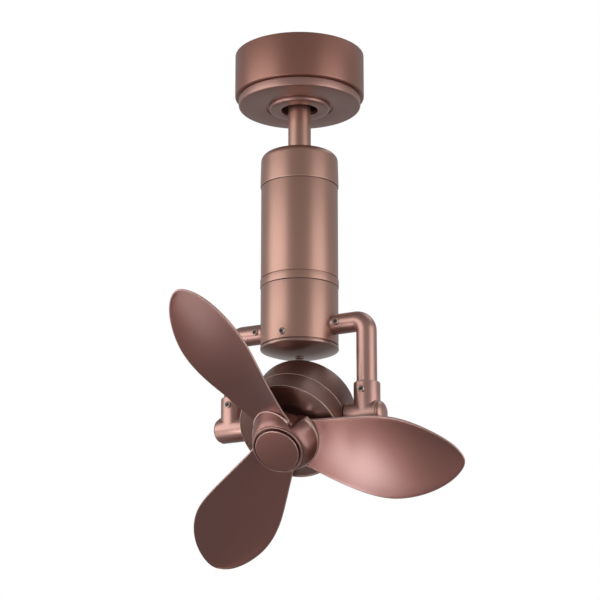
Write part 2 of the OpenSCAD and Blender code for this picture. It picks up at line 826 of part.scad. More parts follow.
module head_shell_front() {
    ledge_h = motor_plate_h - 2;
    color(bronze) at_head() difference() {
        rotate_extrude() polygon([
            [drum_in, shell_joint + 0.1], [drum_r - 0.5, shell_joint + 0.1], [drum_r, shell_joint + 0.6],
            [drum_r, drum_front - 0.8], [drum_r - 0.6, drum_front], [drum_in + 0.4, drum_front],
            [drum_in, drum_front - 0.6], [drum_in, motor_plate_h], [drum_in - 3, motor_plate_h],
            [drum_in - 3, ledge_h], [drum_in, ledge_h]
        ]);
        across(tab_r + 0.15);
    }
}

// Stub shaft with a coped flange on the outside of the drum
module trunnion() {
    color(bronze) translate([0, 0, pivot_z]) difference() {
        union() {
            rod_x(boss_r, drum_r - 7, boss_face);
            rod_x(trunnion_r, nut_x - 0.6, barrel_out - 6);
        }
        rotate([90 + head_tilt, 0, 0]) translate([0, axis_rise, 0]) difference() {
            cylinder(r = drum_r + 0.03, h = 80, center = true);
            across(trunnion_r);
        }
    }
}

module trunnion_left() { mirror([1, 0, 0]) trunnion(); }
module trunnion_right() { trunnion(); }

// Friction washers between the trunnion flanges and the barrels
module friction_washers() {
    color(black) for (side = [-1, 1]) scale([side, 1, 1]) translate([0, 0, pivot_z]) difference() {
        rod_x(boss_r - 2, boss_face, barrel_in - 0.2);
        rod_x(trunnion_r + fit, drum_in, barrel_out);
    }
}

// Nuts inside the drum and in the barrels' outer ends
module trunnion_nuts() {
    color(steel) translate([0, 0, pivot_z]) for (side = [0, 180]) rotate([0, 0, side]) difference() {
        union() {
            rod_x(nut_r, nut_x, nut_x + nut_t);
            rod_x(plug_r - 1, arm_x + 0.2, arm_x + 6);
        }
        rod_x(trunnion_r + seat, nut_x - 1, barrel_out);
    }
}

module motor_stator() {
    teeth = 12;
    color(steel) at_head() difference() {
        ring(stator_r, stator_bore_r, stator_back, stator_back + stator_h);
        for (i = [0:teeth - 1]) rotate([0, 0, 360 * (i + 0.5) / teeth])
            translate([stator_bore_r + 3, -3, stator_back - eps]) cube([9, 6, stator_h + 2 * eps]);
    }
}

module motor_windings() {
    coil_in = stator_bore_r + 4;
    coil_out = stator_r - 4.5;
    color(copper) at_head() for (z = [stator_back - 4, stator_back + stator_h]) rotate_extrude() polygon([
        [coil_in, z], [coil_out, z], [coil_out, z + 4], [coil_in, z + 4]
    ]);
}

// Round plate across the drum's open front, with the front bearing's boss
module motor_front_plate() {
    color(bronze_dark) at_head() rotate_extrude() polygon([
        [pocket_r, motor_plate_h - 5], [bearing_boss_r, motor_plate_h - 5], [bearing_boss_r, motor_plate_h],
        [drum_in - 0.2, motor_plate_h], [drum_in - 0.2, motor_plate_h + 1.5],
        [28, motor_plate_h + 2.5], [shaft_r + 2, motor_plate_h + 2.5], [shaft_r + 2, motor_plate_h + 0.7],
        [pocket_r, motor_plate_h + 0.7]
    ]);
}

module motor_bearings() {
    color(steel) at_head() for (z = [-drum_back + 2, motor_plate_h - 5.3])
        ring(bearing_out, shaft_r + fit, z, z + 6);
}

// ---------------------------------------------------------------- rotor

module motor_rotor() {
    color(steel) at_head() ring(stator_bore_r - 0.6, shaft_r + seat, stator_back, stator_back + stator_h);
}

module motor_shaft() {
    color(steel) at_head() rod(shaft_r, -drum_back + 1.5, hub_face - 9.5);
}

// The blade is a twisted sheet. Across the reach x it is pitched, and its root line
// rises in front of the hub's seat and falls away again towards the tip.
root_zone = 0.35;      // share of the reach where the root eases into the hub
root_ease = 5.7;       // pitch that is taken off at the root, in degrees
root_lift = 3.6;       // height that is added at the root
blade_cup = 0.16;      // how strongly the sheet is cupped
rise_near = 71;        // how fast the sheet leans forward at the root
rise_far = 54.8;       // how fast it falls back again

function near_root(x) = max(0, 1 - x / blade_reach / root_zone);
function pitch_at(x) = -blade_pitch + blade_twist * (x / blade_reach - 0.5) + root_ease * near_root(x);
function rise_at(x) = let (u = x / blade_reach) rise_near * u - rise_far * u * u + root_lift * near_root(x);

// The sheet is cupped across its chord: how deep at a place between its two edges
function cup(before, after) =
    before <= 0 || after <= 0 ? 0 : blade_cup * before * after / (before + after);

// Height of the sheet near the root, between the straight starts of its two edges
function edge_near(x, i, j) = let (p = outline_points[i], q = outline_points[j])
    p[1] + (q[1] - p[1]) * (x - p[0]) / (q[0] - p[0]);
function sheet_h(x, y) =
    let (s = y / cos(pitch_at(x)), front = edge_near(x, 0, 1), back = edge_near(x, 10, 9))
    blade_seat + rise_at(x) + y * tan(pitch_at(x)) - cup(front - s, s - back);
function blade_t(x) = blade_root_t + (blade_tip_t - blade_root_t) * min(1, x / blade_reach);

// Control points of the blade's outline: out along one edge, round the tip and back,
// as distance from the motor axis and offset along the sheet
outline_points = [
    [33, 25], [84, 38], [103, 42], [140, 43], [184, 24], [200, 6],
    [202, -8], [181, -32], [135, -50], [98, -47], [33, -28]
];

// Clamped cubic B-spline through those control points
function knot(i) = max(0, min(1, (i - 3) / (len(outline_points) - 3)));
function share(t, a, b) = a == b ? 0 : (t - a) / (b - a);
function weight(i, k, t) = k == 0
    ? ((t >= knot(i) && t < knot(i + 1)) ? 1 : 0)
    : share(t, knot(i), knot(i + k)) * weight(i, k - 1, t)
    + share(t, knot(i + k + 1), knot(i + 1)) * weight(i + 1, k - 1, t);
function outline_at(t) = [for (c = [0, 1]) let (v = [for (i = [0:len(outline_points) - 1])
    outline_points[i][c] * weight(i, 3, t)]) v * [for (w = v) 1]];

root_half_front = 22;   // half width of the root, towards the rear edge's side
root_half_back = -24;
stations = 26;
chord_steps = 12;

// Point of the sheet at station i and chord share c
function sheet_point(i, c) =
    let (
        t = 0.4985 * (1 - pow(1 - (i - 1) / (stations - 1), 1.5)),
        a = outline_at(t),
        b = outline_at(1 - t - 0.0001),
        place = a + (b - a) * c,
        x = place[0],
        s = place[1],
        chord = norm(b - a),
        height = blade_seat + rise_at(x) + s * sin(pitch_at(x)) - cup(chord * c, chord * (1 - c))
    )
    [x, s * cos(pitch_at(x)), height];

function root_point(c) =
    let (y = root_half_front + (root_half_back - root_half_front) * c, x = sqrt(pow(hub_r + 1.4, 2) - y * y))
    [x, y, sheet_h(x, y)];

// Closed ring of points round the blade's section at station i
function blade_section(i) =
    let (
        shares = [for (j = [0:chord_steps]) (1 - cos(180 * j / chord_steps)) / 2],
        mid = [for (c = shares) i == 0 ? root_point(c) : sheet_point(i, c)],
        half = [for (j = [0:chord_steps]) let (e = abs(2 * shares[j] - 1))
            blade_t(mid[j][0]) / 2 * max(0.12, sqrt(1 - pow(e, 6)))]
    )
    concat(
        [for (j = [0:chord_steps]) mid[j] + [0, 0, half[j]]],
        [for (j = [chord_steps:-1:0]) mid[j] - [0, 0, half[j]]]
    );

// Solid through a row of sections. Each section runs out along its upper side and back
// along its lower side, so that point j lies over point n - 1 - j.
module loft(sections) {
    n = len(sections[0]);
    rings = len(sections);
    last = (rings - 1) * n;
    polyhedron(
        points = [for (s = sections) each s],
        faces = concat(
            [for (j = [0:n / 2 - 2]) each [[j, j + 1, n - 2 - j], [j, n - 2 - j, n - 1 - j]]],
            [for (i = [0:rings - 2], j = [0:n - 1]) let (k = (j + 1) % n, a = i * n, b = a + n)
                each [[a + k, a + j, b + j], [a + k, b + j, b + k]]],
            [for (j = [0:n / 2 - 2]) let (m = last + n - 1 - j)
                each [[m - 1, last + j + 1, last + j], [m, m - 1, last + j]]]
        )
    );
}

module blade(index) {
    color(bronze_dark) at_head() rotate([0, 0, blade_phase + 360 * index / blade_count])
        loft([for (i = [0:stations]) blade_section(i)]);
}

module blade_1() { blade(0); }
module blade_2() { blade(1); }
module blade_3() { blade(2); }

// The lobe is the hub's skirt over one blade root. Its lip is nearly round. It follows
// the pitched sheet, and it is thicker towards both of its ends.
lobe_from = -51;
lobe_to = 46;
lobe_steps = 14;
lobe_rows = 6;
lobe_play = 0.2;
lobe_spread = 0.36;     // how much wider the lobe is at the hub than at its lip
function lip_r(a) = let (d = a / 45) hub_r + 10 + 1.6 * d - 3.8 * d * d;
function lip_t(a) = let (d = a / 45) 1 + 6.2 * pow(max(0, d), 1.6) + 2.6 * pow(max(0, -d), 3);
function lobe_floor(x, y) = sheet_h(x, y) + blade_t(x) / 2 + lobe_play;
function lip_h(a) = lobe_floor(lip_r(a) * cos(a), lip_r(a) * sin(a)) + lip_t(a);

function lobe_section(i) =
    let (
        a = lobe_from + (lobe_to - lobe_from) * i / lobe_steps,
        inner = hub_r - 1.5,
        top = hub_face - 2.2,
        shares = [for (j = [0:lobe_rows]) 1 - pow(1 - j / lobe_rows, 1.5)],
        places = [for (u = shares) let (r = inner + (lip_r(a) - inner) * u, b = a * (1 + lobe_spread * (1 - u)))
            [r * cos(b), r * sin(b)]]
    )
    concat(
        [for (j = [0:lobe_rows])
            [places[j][0], places[j][1], lip_h(a) + (top - lip_h(a)) * (1 - pow(shares[j], 1.7))]],
        [for (j = [lobe_rows:-1:0]) [places[j][0], places[j][1], lobe_floor(places[j][0], places[j][1])]]
    );

hub_web = 45;          // where the web begins in front of the tilt axis
hub_web_t = 5;
hub_wall = 3;
hub_boss_r = 9;
hub_collar_r = 21.5;
cap_spigot_r = 22;
cap_groove_w = 2.4;     // dark groove round the cap
cap_rise = 1.8;         // how far the cap's edge stands in front of the hub's face
cap_crown = 0.6;

// Hub: a round core with a recess for the cap, three lobes, and a collar behind
module rotor_hub() {
    web_top = hub_web + hub_web_t;
    wall_foot = hub_web - 9;
    collar_foot = motor_plate_h + 5;
    groove_r = hub_cap_r + cap_groove_w;
    groove_foot = hub_face - 6.3;
    color(bronze_dark) at_head() {
        rotate_extrude() polygon([
            [shaft_r + seat, wall_foot - 2], [shaft_r + seat, web_top], [cap_spigot_r + 0.1, web_top],
            [cap_spigot_r + 0.1, groove_foot], [groove_r, groove_foot], [groove_r, hub_face],
            [hub_r - 0.9, hub_face], [hub_r, hub_face - 0.9], [hub_r + 0.3, web_top],
            [hub_r + 0.6, wall_foot],
            [hub_r - hub_wall, wall_foot], [hub_r - hub_wall, hub_web], [hub_collar_r, hub_web],
            [hub_collar_r, collar_foot], [hub_collar_r - 3.5, collar_foot], [hub_collar_r - 3.5, hub_web],
            [hub_boss_r, hub_web], [hub_boss_r, wall_foot - 2]
        ]);
        for (k = [0:blade_count - 1]) rotate([0, 0, blade_phase + 360 * k / blade_count])
            loft([for (i = [0:lobe_steps]) lobe_section(i)]);
    }
}

module hub_nut() {
    color(steel) at_head() difference() {
        translate([0, 0, hub_web + hub_web_t]) cylinder(r = 2 * shaft_r, h = 5, $fn = 6);
        translate([0, 0, hub_web]) cylinder(r = shaft_r + seat, h = 3 * hub_web_t);
    }
}

module hub_cap() {
    color(bronze_dark) at_head() rotate_extrude() polygon([
        [0, hub_face - 3], [cap_spigot_r - 2.5, hub_face - 3], [cap_spigot_r - 2.5, hub_face - 9],
        [cap_spigot_r, hub_face - 9], [cap_spigot_r, hub_face - 3], [hub_cap_r, hub_face - 3],
        [hub_cap_r, hub_face + cap_rise - 1], [hub_cap_r - 0.3, hub_face + cap_rise - 0.3],
        [hub_cap_r - 1, hub_face + cap_rise], [0, hub_face + cap_rise + cap_crown]
    ]);
}

ceiling_bracket();
terminal_block();
wireless_receiver();
canopy();
canopy_screws();
canopy_cover();
canopy_collar();
hanger_ball();
ball_pin();
downrod();
rod_coupling();
coupling_pin();
upper_cap();
fan_driver();
tie_rods();
body_tube();
gear_plate();
spindle_bearing();
slip_ring();
orbit_gearmotor();
trim_ring();
drive_pinion();
gearmotor_shaft();
orbit_spindle();
spindle_nut();
orbit_gear();
orbit_housing();
arm_block();
bottom_dome();
dome_screw();
housing_screws();
arm_left();
arm_right();
arm_screws();
tee_left();
tee_right();
tee_screws();
tee_cap_left();
tee_cap_right();
head_shell_rear();
head_shell_front();
trunnion_left();
trunnion_right();
friction_washers();
trunnion_nuts();
motor_stator();
motor_windings();
motor_front_plate();
motor_bearings();
motor_rotor();
motor_shaft();
rotor_hub();
blade_1();
blade_2();
blade_3();
hub_nut();
hub_cap();
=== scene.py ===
"""Looks of the orbital ceiling fan.

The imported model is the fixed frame. This script dresses it: it turns, sweeps and lofts the pieces
that show, gives every piece its finish, and sets up the studio and the camera.
Lengths on the fan are written in millimetres, as in the construction, and scaled by MM. The lamps,
the floor and the bumps of the finishes are in metres.
"""

import math

import bmesh
import bpy
from mathutils import Matrix, Vector
from mathutils.kdtree import KDTree


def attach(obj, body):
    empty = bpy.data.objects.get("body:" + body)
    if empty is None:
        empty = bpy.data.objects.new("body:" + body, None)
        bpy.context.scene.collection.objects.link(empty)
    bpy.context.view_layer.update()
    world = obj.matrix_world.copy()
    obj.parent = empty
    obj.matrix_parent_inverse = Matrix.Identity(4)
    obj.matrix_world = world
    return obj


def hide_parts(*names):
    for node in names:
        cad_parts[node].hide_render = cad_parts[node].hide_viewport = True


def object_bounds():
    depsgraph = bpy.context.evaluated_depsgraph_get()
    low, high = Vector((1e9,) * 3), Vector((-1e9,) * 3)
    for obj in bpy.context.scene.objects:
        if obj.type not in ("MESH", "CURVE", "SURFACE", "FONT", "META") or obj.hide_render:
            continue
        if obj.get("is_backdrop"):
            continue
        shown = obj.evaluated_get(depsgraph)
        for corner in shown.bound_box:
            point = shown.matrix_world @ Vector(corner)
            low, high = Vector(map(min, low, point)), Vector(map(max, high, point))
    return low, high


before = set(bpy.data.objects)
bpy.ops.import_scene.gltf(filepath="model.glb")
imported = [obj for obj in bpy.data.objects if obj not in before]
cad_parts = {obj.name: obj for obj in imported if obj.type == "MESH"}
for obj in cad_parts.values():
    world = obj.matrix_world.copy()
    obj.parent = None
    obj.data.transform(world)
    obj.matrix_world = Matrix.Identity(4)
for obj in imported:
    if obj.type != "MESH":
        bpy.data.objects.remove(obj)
cad_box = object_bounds()

MM = 0.001

# ------------------------------------------------------------------ sizes, in millimetres

CANOPY_R = 72.5
CANOPY_H = 51.0
CANOPY_WALL = 1.5
CANOPY_TOP = -0.5
COVER_R = 68.5
COVER_H = 10.0
COVER_GAP = 0.8
COVER_STEP = 2.2
COVER_HOLE_R = 38.0
COLLAR_R = 34.3
COLLAR_HOLE_R = 20.5
COLLAR_DROP = 4.0
COLLAR_WALL = 2.0
ROD_R = 12.7
ROD_WALL = 1.8
ROD_TOP = -13.0
BODY_TOP = -119.5
BODY_R = 42.6
BODY_IN = 40.6
CAP_H = 38.2
CAP_WALL = 2.0
TUBE_H = 107.9
GROOVE_DEPTH = 1.2
RING_H = 8.6
FLANGE_T = 4.0
RIM_T = 2.0
ORBIT_GAP = 0.4
HOUSING_H = 65.4
HOUSING_ROOF_T = 3.0
SPINDLE_BORE_R = 7.52
DOME_RIM_H = 4.3
DOME_DEPTH = 8.5
DOME_WALL = 2.0
FINIAL_R = 4.7
FINIAL_FACE_R = 3.2
FINIAL_H = 1.9
ARM_X = 80.5
ARM_R = 11.1
ARM_PLAY = 0.25
ARM_WALL = 1.5
ARM_FOOT = 14.7
ARM_RISE = 19.5
ARM_DROP = 103.8
BEND_R = 12.0
TEE_R = 14.3
SOCKET_H = 35.0
SOCKET_FLOOR = 14.5
BARREL_IN = 58.4
BARREL_L = 36.5
STUB_BORE_R = 8.05
NUT_BORE_R = 11.0
END_CAP_L = 7.2
END_CAP_RIM = 1.2
PLUG_R = 10.98
PLUG_L = 4.0
HEAD_TILT = math.radians(42.5)
AXIS_RISE = 4.6
DRUM_R = 57.0
DRUM_WALL = 2.0
DRUM_FRONT = 28.0
DRUM_BACK = 36.0
SHELL_JOINT = 2.5
PLATE_H = 13.0
BEARING_R = 9.52
BOSS_R = 13.0
HUB_R = 28.9
HUB_FACE = 66.3
HUB_CAP_R = 24.2
CAP_GROOVE_W = 1.9
CAP_RISE = 1.8
CAP_CROWN = 0.6
BLADE_COUNT = 3
BLADE_PHASE = -12.6
SCREW_R = 3.8
SCREW_RISE = 7.2
ARM_SCREW_OUT = 6.4
TEE_SCREW_RISE = 25

# Levels on the main axis, below the ceiling at 0
COVER_BOTTOM = -CANOPY_H - COVER_GAP - COVER_H
CAP_BOTTOM = BODY_TOP - CAP_H
TUBE_BOTTOM = CAP_BOTTOM - TUBE_H
RING_BOTTOM = TUBE_BOTTOM - RING_H
HOUSING_TOP = RING_BOTTOM - ORBIT_GAP
HOUSING_BOTTOM = HOUSING_TOP - HOUSING_H
RIM_BOTTOM = HOUSING_BOTTOM - DOME_RIM_H
ARM_Z = HOUSING_BOTTOM + ARM_RISE
PIVOT_Z = ARM_Z - ARM_DROP
SCREW_Z = HOUSING_BOTTOM + SCREW_RISE

# Places and directions of turned pieces, and the two sides of the fork
UPRIGHT = Matrix.Identity(4)
PIVOT = Matrix.Translation((0, 0, PIVOT_Z))
HEAD = PIVOT @ Matrix.Rotation(math.pi / 2 + HEAD_TILT, 4, "X") @ Matrix.Translation((0, AXIS_RISE, 0))
TURN_Z_TO_X = Matrix.Rotation(math.pi / 2, 4, "Y")
TURN_Z_TO_FRONT = Matrix.Rotation(math.pi / 2, 4, "X")
LEFT_RIGHT = (("left", -1), ("right", 1))


# ------------------------------------------------------------------ shader maths

class Flow:
    """A socket that works in expressions with + - and *. Without a socket it only adds nodes."""

    def __init__(self, tree, socket):
        self.tree = tree
        self.socket = socket

    def node(self, kind, settings=None, output=0, **inputs):
        """Adds a node: first its settings, then values or links for its sockets, by name or number."""
        made = self.tree.nodes.new(kind)
        for key, value in (settings or {}).items():
            setattr(made, key, value)
        for key, value in inputs.items():
            place = int(key[1:]) if key[1:].isdigit() else key.replace("_", " ")
            target = made.inputs[place]
            if isinstance(value, Flow):
                self.tree.links.new(value.socket, target)
            else:
                target.default_value = value
        return Flow(self.tree, made.outputs[output])

    def math(self, operation, *values):
        inputs = {f"i{i}": value for i, value in enumerate(values)}
        return self.node("ShaderNodeMath", {"operation": operation}, **inputs)

    def __add__(self, other):
        return self.math("ADD", self, other)

    def __radd__(self, other):
        return self.math("ADD", other, self)

    def __sub__(self, other):
        return self.math("SUBTRACT", self, other)

    def __rsub__(self, other):
        return self.math("SUBTRACT", other, self)

    def __mul__(self, other):
        return self.math("MULTIPLY", self, other)

    def __rmul__(self, other):
        return self.math("MULTIPLY", other, self)

    def clamped(self):
        return self.math("MINIMUM", self.math("MAXIMUM", self, 0.0), 1.0)

    def between(self, low, high):
        """This value from 0 to 1, spread over low to high."""
        return self * (high - low) + low


def linear(*srgb):
    """A colour given as 0 to 255 on screen, as the linear value that a shader takes."""
    scaled = [c / 255 for c in srgb]
    return [c / 12.92 if c <= 0.04045 else ((c + 0.055) / 1.055) ** 2.4 for c in scaled] + [1.0]


class Finish:
    """A material under construction: its node tree, its shader and the object's own coordinates."""

    def __init__(self, name):
        self.material = bpy.data.materials.new(name)
        self.material.use_nodes = True
        self.tree = self.material.node_tree
        self.shader = self.tree.nodes["Principled BSDF"]
        self.start = Flow(self.tree, None)
        self.place = self.start.node("ShaderNodeTexCoord", output="Object")

    def noise(self, scale, detail=2.0, rough=0.5, stretch=None):
        place = self.place
        if stretch:
            place = self.start.node("ShaderNodeMapping", Vector=place, Scale=stretch)
        return self.start.node(
            "ShaderNodeTexNoise", Vector=place, Scale=scale, Detail=detail, Roughness=rough
        )

    def mix(self, share, first, second):
        return self.start.node(
            "ShaderNodeMix", {"data_type": "RGBA"}, output=2, i0=share, i6=first, i7=second
        )

    def two_tone(self, share, light, dark):
        """Goes from the dark to the light one of two screen colours."""
        return self.mix(share.clamped(), linear(*dark), linear(*light))

    def painted_highlight(self, highlight):
        """How far each spot gets the painted highlight, from the marks that its mesh carries."""
        marks = self.start.node("ShaderNodeAttribute", {"attribute_name": PAINTED_HIGHLIGHT_LAYER}, output="Fac")
        return (marks * highlight).clamped()

    def bump(self, height, strength, distance):
        return self.start.node("ShaderNodeBump", Height=height, Strength=strength, Distance=distance)

    def set(self, **values):
        """Sets the shader's sockets: a number stays on the socket, a flow is linked to it."""
        for key, value in values.items():
            socket = self.shader.inputs[key.replace("_", " ")]
            if isinstance(value, Flow):
                self.tree.links.new(value.socket, socket)
            else:
                socket.default_value = value


# ------------------------------------------------------------------ finishes

# Painted highlight: marked edges and lips get this light tone in their base colour, in place of the
# light that they catch.
PAINTED_HIGHLIGHT_LAYER = "painted_highlight"
PAINTED_HIGHLIGHT_TONE = linear(236, 206, 194)


def bronze_paint(name, light, dark, rough, coat=0.9, coat_rough=0.34, highlight=0.5):
    """Satin metallic paint: two close tones, fine flakes, a faint orange peel and a painted highlight
    on marked edges.
    """
    finish = Finish(name)
    cloud = finish.noise(18.0, 3.0)
    flake = finish.noise(2600.0, 1.0)
    peel = finish.noise(420.0, 2.0)
    tone = finish.two_tone(cloud * 0.6 + flake * 0.4, light, dark)
    # Painted highlight: marked edges turn light and less metallic, standing in for the light that they
    # catch.
    painted_highlight = finish.painted_highlight(highlight)
    finish.set(
        Base_Color=finish.mix(painted_highlight, tone, PAINTED_HIGHLIGHT_TONE),
        Metallic=0.92 - painted_highlight * 0.6,
        Roughness=(flake * 0.5 + cloud * 0.5).between(rough - 0.05, rough + 0.05),
        Coat_Weight=coat,
        Coat_Roughness=coat_rough,
        Coat_IOR=1.7,
        Normal=finish.bump(peel, 0.05, 0.0003),
    )
    return finish.material


def plated_steel(name, light, dark, rough, highlight=0.0):
    """Plated, ground or blackened steel with a fine drawn grain, and a painted highlight on marked
    edges.
    """
    finish = Finish(name)
    grain = finish.noise(900.0, 2.0, 0.6, stretch=(1.0, 1.0, 0.05))
    cloud = finish.noise(35.0, 3.0)
    tone = finish.two_tone(grain * 0.5 + cloud * 0.5, light, dark)
    finish.set(
        # Painted highlight on the marked edges, such as the bright rim of a screw head.
        Base_Color=finish.mix(finish.painted_highlight(highlight), tone, PAINTED_HIGHLIGHT_TONE),
        Metallic=1.0,
        Roughness=grain.between(rough - 0.08, rough + 0.1),
        Normal=finish.bump(grain, 0.08, 0.0002),
    )
    return finish.material


def cast_alloy(name, light, dark):
    """Die-cast alloy as it comes from the mould."""
    finish = Finish(name)
    skin = finish.noise(320.0, 4.0, 0.65)
    cloud = finish.noise(40.0, 2.0)
    finish.set(
        Base_Color=finish.two_tone(skin * 0.6 + cloud * 0.4, light, dark),
        Metallic=1.0,
        Roughness=skin.between(0.42, 0.62),
        Normal=finish.bump(skin, 0.25, 0.0004),
    )
    return finish.material


def moulded_plastic(name, light, dark, rough):
    """Moulded plastic with a fine spark-eroded skin."""
    finish = Finish(name)
    skin = finish.noise(1400.0, 2.0, 0.6)
    cloud = finish.noise(30.0, 2.0)
    finish.set(
        Base_Color=finish.two_tone(cloud * 0.7 + skin * 0.3, light, dark),
        Roughness=skin.between(rough - 0.08, rough + 0.08),
        Normal=finish.bump(skin, 0.2, 0.0003),
    )
    return finish.material


def wound_copper(name):
    """Enamelled copper wire, wound in fine rings."""
    finish = Finish(name)
    rows = finish.start.node(
        "ShaderNodeTexWave", {"wave_type": "RINGS", "rings_direction": "SPHERICAL"},
        Vector=finish.place, Scale=420.0, Distortion=1.5,
    )
    cloud = finish.noise(60.0, 2.0)
    finish.set(
        Base_Color=finish.two_tone(rows * 0.6 + cloud * 0.4, (214, 128, 72), (120, 58, 26)),
        Metallic=1.0,
        Roughness=cloud.between(0.28, 0.42),
        Normal=finish.bump(rows, 0.5, 0.0005),
    )
    return finish.material


BRONZE = bronze_paint("bronze_paint", (185, 138, 120), (171, 125, 108), 0.40)
BRONZE_ARM = bronze_paint("bronze_arm", (191, 143, 130), (177, 130, 118), 0.38, 1.0, 0.36)
# Painted shade: a darker copy of the bronze paint for the dome, standing in for the dark parts that it
# reflects.
BRONZE_DOME_SHADED = bronze_paint("bronze_dome_shaded", (170, 128, 112), (156, 116, 101), 0.38, 1.0, 0.26, 0.2)
# Painted shade: a darker copy of the bronze paint for the canopy, standing in for the lesser light
# near the ceiling.
BRONZE_CANOPY_SHADED = bronze_paint("bronze_canopy_shaded", (160, 104, 86), (146, 93, 77), 0.44, 0.8, highlight=0.25)
BRONZE_COVER = bronze_paint("bronze_cover", (180, 134, 122), (167, 122, 111), 0.44, 0.8, highlight=0.25)
BRONZE_BLADE = bronze_paint("bronze_blade", (154, 98, 88), (140, 87, 78), 0.42, 1.0, 0.27)
BRONZE_DRUM = bronze_paint("bronze_drum", (142, 98, 86), (128, 87, 77), 0.46, highlight=0.8)
BRONZE_FACE = bronze_paint("bronze_face", (152, 112, 100), (138, 101, 90), 0.36, coat_rough=0.2)
ZINC = plated_steel("zinc_steel", (196, 198, 202), (160, 162, 166), 0.34)
GROUND_STEEL = plated_steel("ground_steel", (214, 215, 218), (188, 190, 194), 0.2)
# The screws get the full painted highlight on the rims of their heads.
DARK_SCREW = plated_steel("dark_screw", (92, 86, 80), (56, 50, 46), 0.34, highlight=1.0)
IRON = plated_steel("motor_iron", (140, 142, 146), (104, 106, 110), 0.46)
ALLOY = cast_alloy("cast_alloy", (190, 191, 193), (156, 158, 160))
COPPER = wound_copper("copper_wire")
BLACK = moulded_plastic("black_plastic", (34, 34, 35), (22, 22, 23), 0.55)
NYLON = moulded_plastic("white_nylon", (228, 224, 212), (210, 205, 190), 0.5)


# ------------------------------------------------------------------ making meshes

ON_AXIS = 1e-6
SAME_PLACE = 2e-5
MERGE_GAP = 0.001
SHARP_ANGLE = 32
# Outer roundings smaller than this carry a painted highlight.
HIGHLIGHT_ROUNDING = 2.0


def finished(obj, material, body, slot, *nodes):
    """Gives a piece its material and its body, and hides the nodes that it stands for. The slot is not
    used.
    """
    obj.data.materials.clear()
    obj.data.materials.append(material)
    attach(obj, body)
    if nodes:
        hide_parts(*nodes)


def smooth(mesh, sharp):
    """Smooth shading, where only the edges that turn by more than the sharp angle stay sharp."""
    mesh.shade_smooth()
    mesh.set_sharp_from_angle(angle=math.radians(sharp))


def piece(name, bm, place=UPRIGHT, sharp=SHARP_ANGLE):
    """A piece from a mesh in millimetres, brought to its place."""
    bmesh.ops.remove_doubles(bm, verts=bm.verts, dist=MERGE_GAP)
    bmesh.ops.recalc_face_normals(bm, faces=bm.faces)
    bm.transform(Matrix.Scale(MM, 4) @ place)
    mesh = bpy.data.meshes.new(name)
    bm.to_mesh(mesh)
    bm.free()
    smooth(mesh, sharp)
    obj = bpy.data.objects.new(name, mesh)
    bpy.context.scene.collection.objects.link(obj)
    return obj


def rounded(corners, steps):
    """Outline through corners given as (x, y, rounding): each point with how much painted highlight it
    carries.

    Only the small roundings that stand out carry the painted highlight, most at their middle.
    """
    area = sum(a[0] * b[1] - b[0] * a[1] for a, b in zip(corners, corners[1:] + corners[:1]))
    outline = []
    for i, (x, y, rounding) in enumerate(corners):
        corner = Vector((x, y))
        before = Vector(corners[i - 1][:2]) - corner
        after = Vector(corners[(i + 1) % len(corners)][:2]) - corner
        if rounding <= 0:
            outline.append((corner, 0.0))
            continue
        half = before.angle(after) / 2
        before.normalize()
        after.normalize()
        centre = corner + (before + after).normalized() * rounding / math.sin(half)
        reach = rounding / math.tan(half)
        start = corner + before * reach - centre
        end = corner + after * reach - centre
        turn = start.angle_signed(end)
        outer = turn * area < 0 and rounding < HIGHLIGHT_ROUNDING
        for step in range(steps + 1):
            highlight = math.sin(math.pi * step / steps) if outer else 0.0
            outline.append((centre + Matrix.Rotation(-turn * step / steps, 2) @ start, highlight))
    return outline


def revolved(outline, segments):
    """Mesh of a closed outline of (radius, height) turned about Z. Points on the axis become poles."""
    bm = bmesh.new()
    # Each point keeps its painted highlight in a point layer.
    layer = bm.verts.layers.float.new(PAINTED_HIGHLIGHT_LAYER)
    rings = []
    for (radius, height), highlight in outline:
        if radius < ON_AXIS:
            rings.append([bm.verts.new((0, 0, height))])
            continue
        rings.append([
            bm.verts.new((radius * math.cos(a), radius * math.sin(a), height))
            for a in (2 * math.pi * k / segments for k in range(segments))
        ])
        for vert in rings[-1]:
            vert[layer] = highlight
    for near, far in zip(rings, rings[1:] + rings[:1]):
        join_rings(bm, near, far)
    return bm


def join_rings(bm, near, far):
    """Faces between two rings, or between a ring and a pole."""
    if len(near) == 1 and len(far) == 1:
        return
    count = max(len(near), len(far))
    for k in range(count):
        n = (k + 1) % count
        if len(near) == 1:
            bm.faces.new((near[0], far[k], far[n]))
        elif len(far) == 1:
            bm.faces.new((near[k], near[n], far[0]))
        else:
            bm.faces.new((near[k], near[n], far[n], far[k]))


def turned(name, corners, place=UPRIGHT, segments=128, steps=5):
    """A turned piece: corners are (radius, height, rounding), in order round the section."""
    return piece(name, revolved(rounded(corners, steps), segments), place)


def swept(path, radius, sides=64):
    """Closed tube skin along a path in the plane Y = 0, as rings of vertices in a new mesh."""
    bm = bmesh.new()
    rings = []
    for i, point in enumerate(path):
        ahead = (path[min(i + 1, len(path) - 1)] - path[max(i - 1, 0)]).normalized()
        side = Vector((0, 1, 0))
        out = ahead.cross(side)
        rings.append([
            bm.verts.new(point + radius * (math.cos(a) * out + math.sin(a) * side))
            for a in (2 * math.pi * k / sides for k in range(sides))
        ])
    for near, far in zip(rings, rings[1:]):
        join_rings(bm, near, far)
    bm.faces.new(rings[0])
    bm.faces.new(reversed(rings[-1]))
    return bm


def highlight_points(mesh):
    """The places of a mesh's points, each with its share of painted highlight."""
    layer = mesh.attributes.get(PAINTED_HIGHLIGHT_LAYER)
    if layer is None:
        return [(vert.co.copy(), 0.0) for vert in mesh.vertices]
    return [(vert.co.copy(), item.value) for vert, item in zip(mesh.vertices, layer.data)]


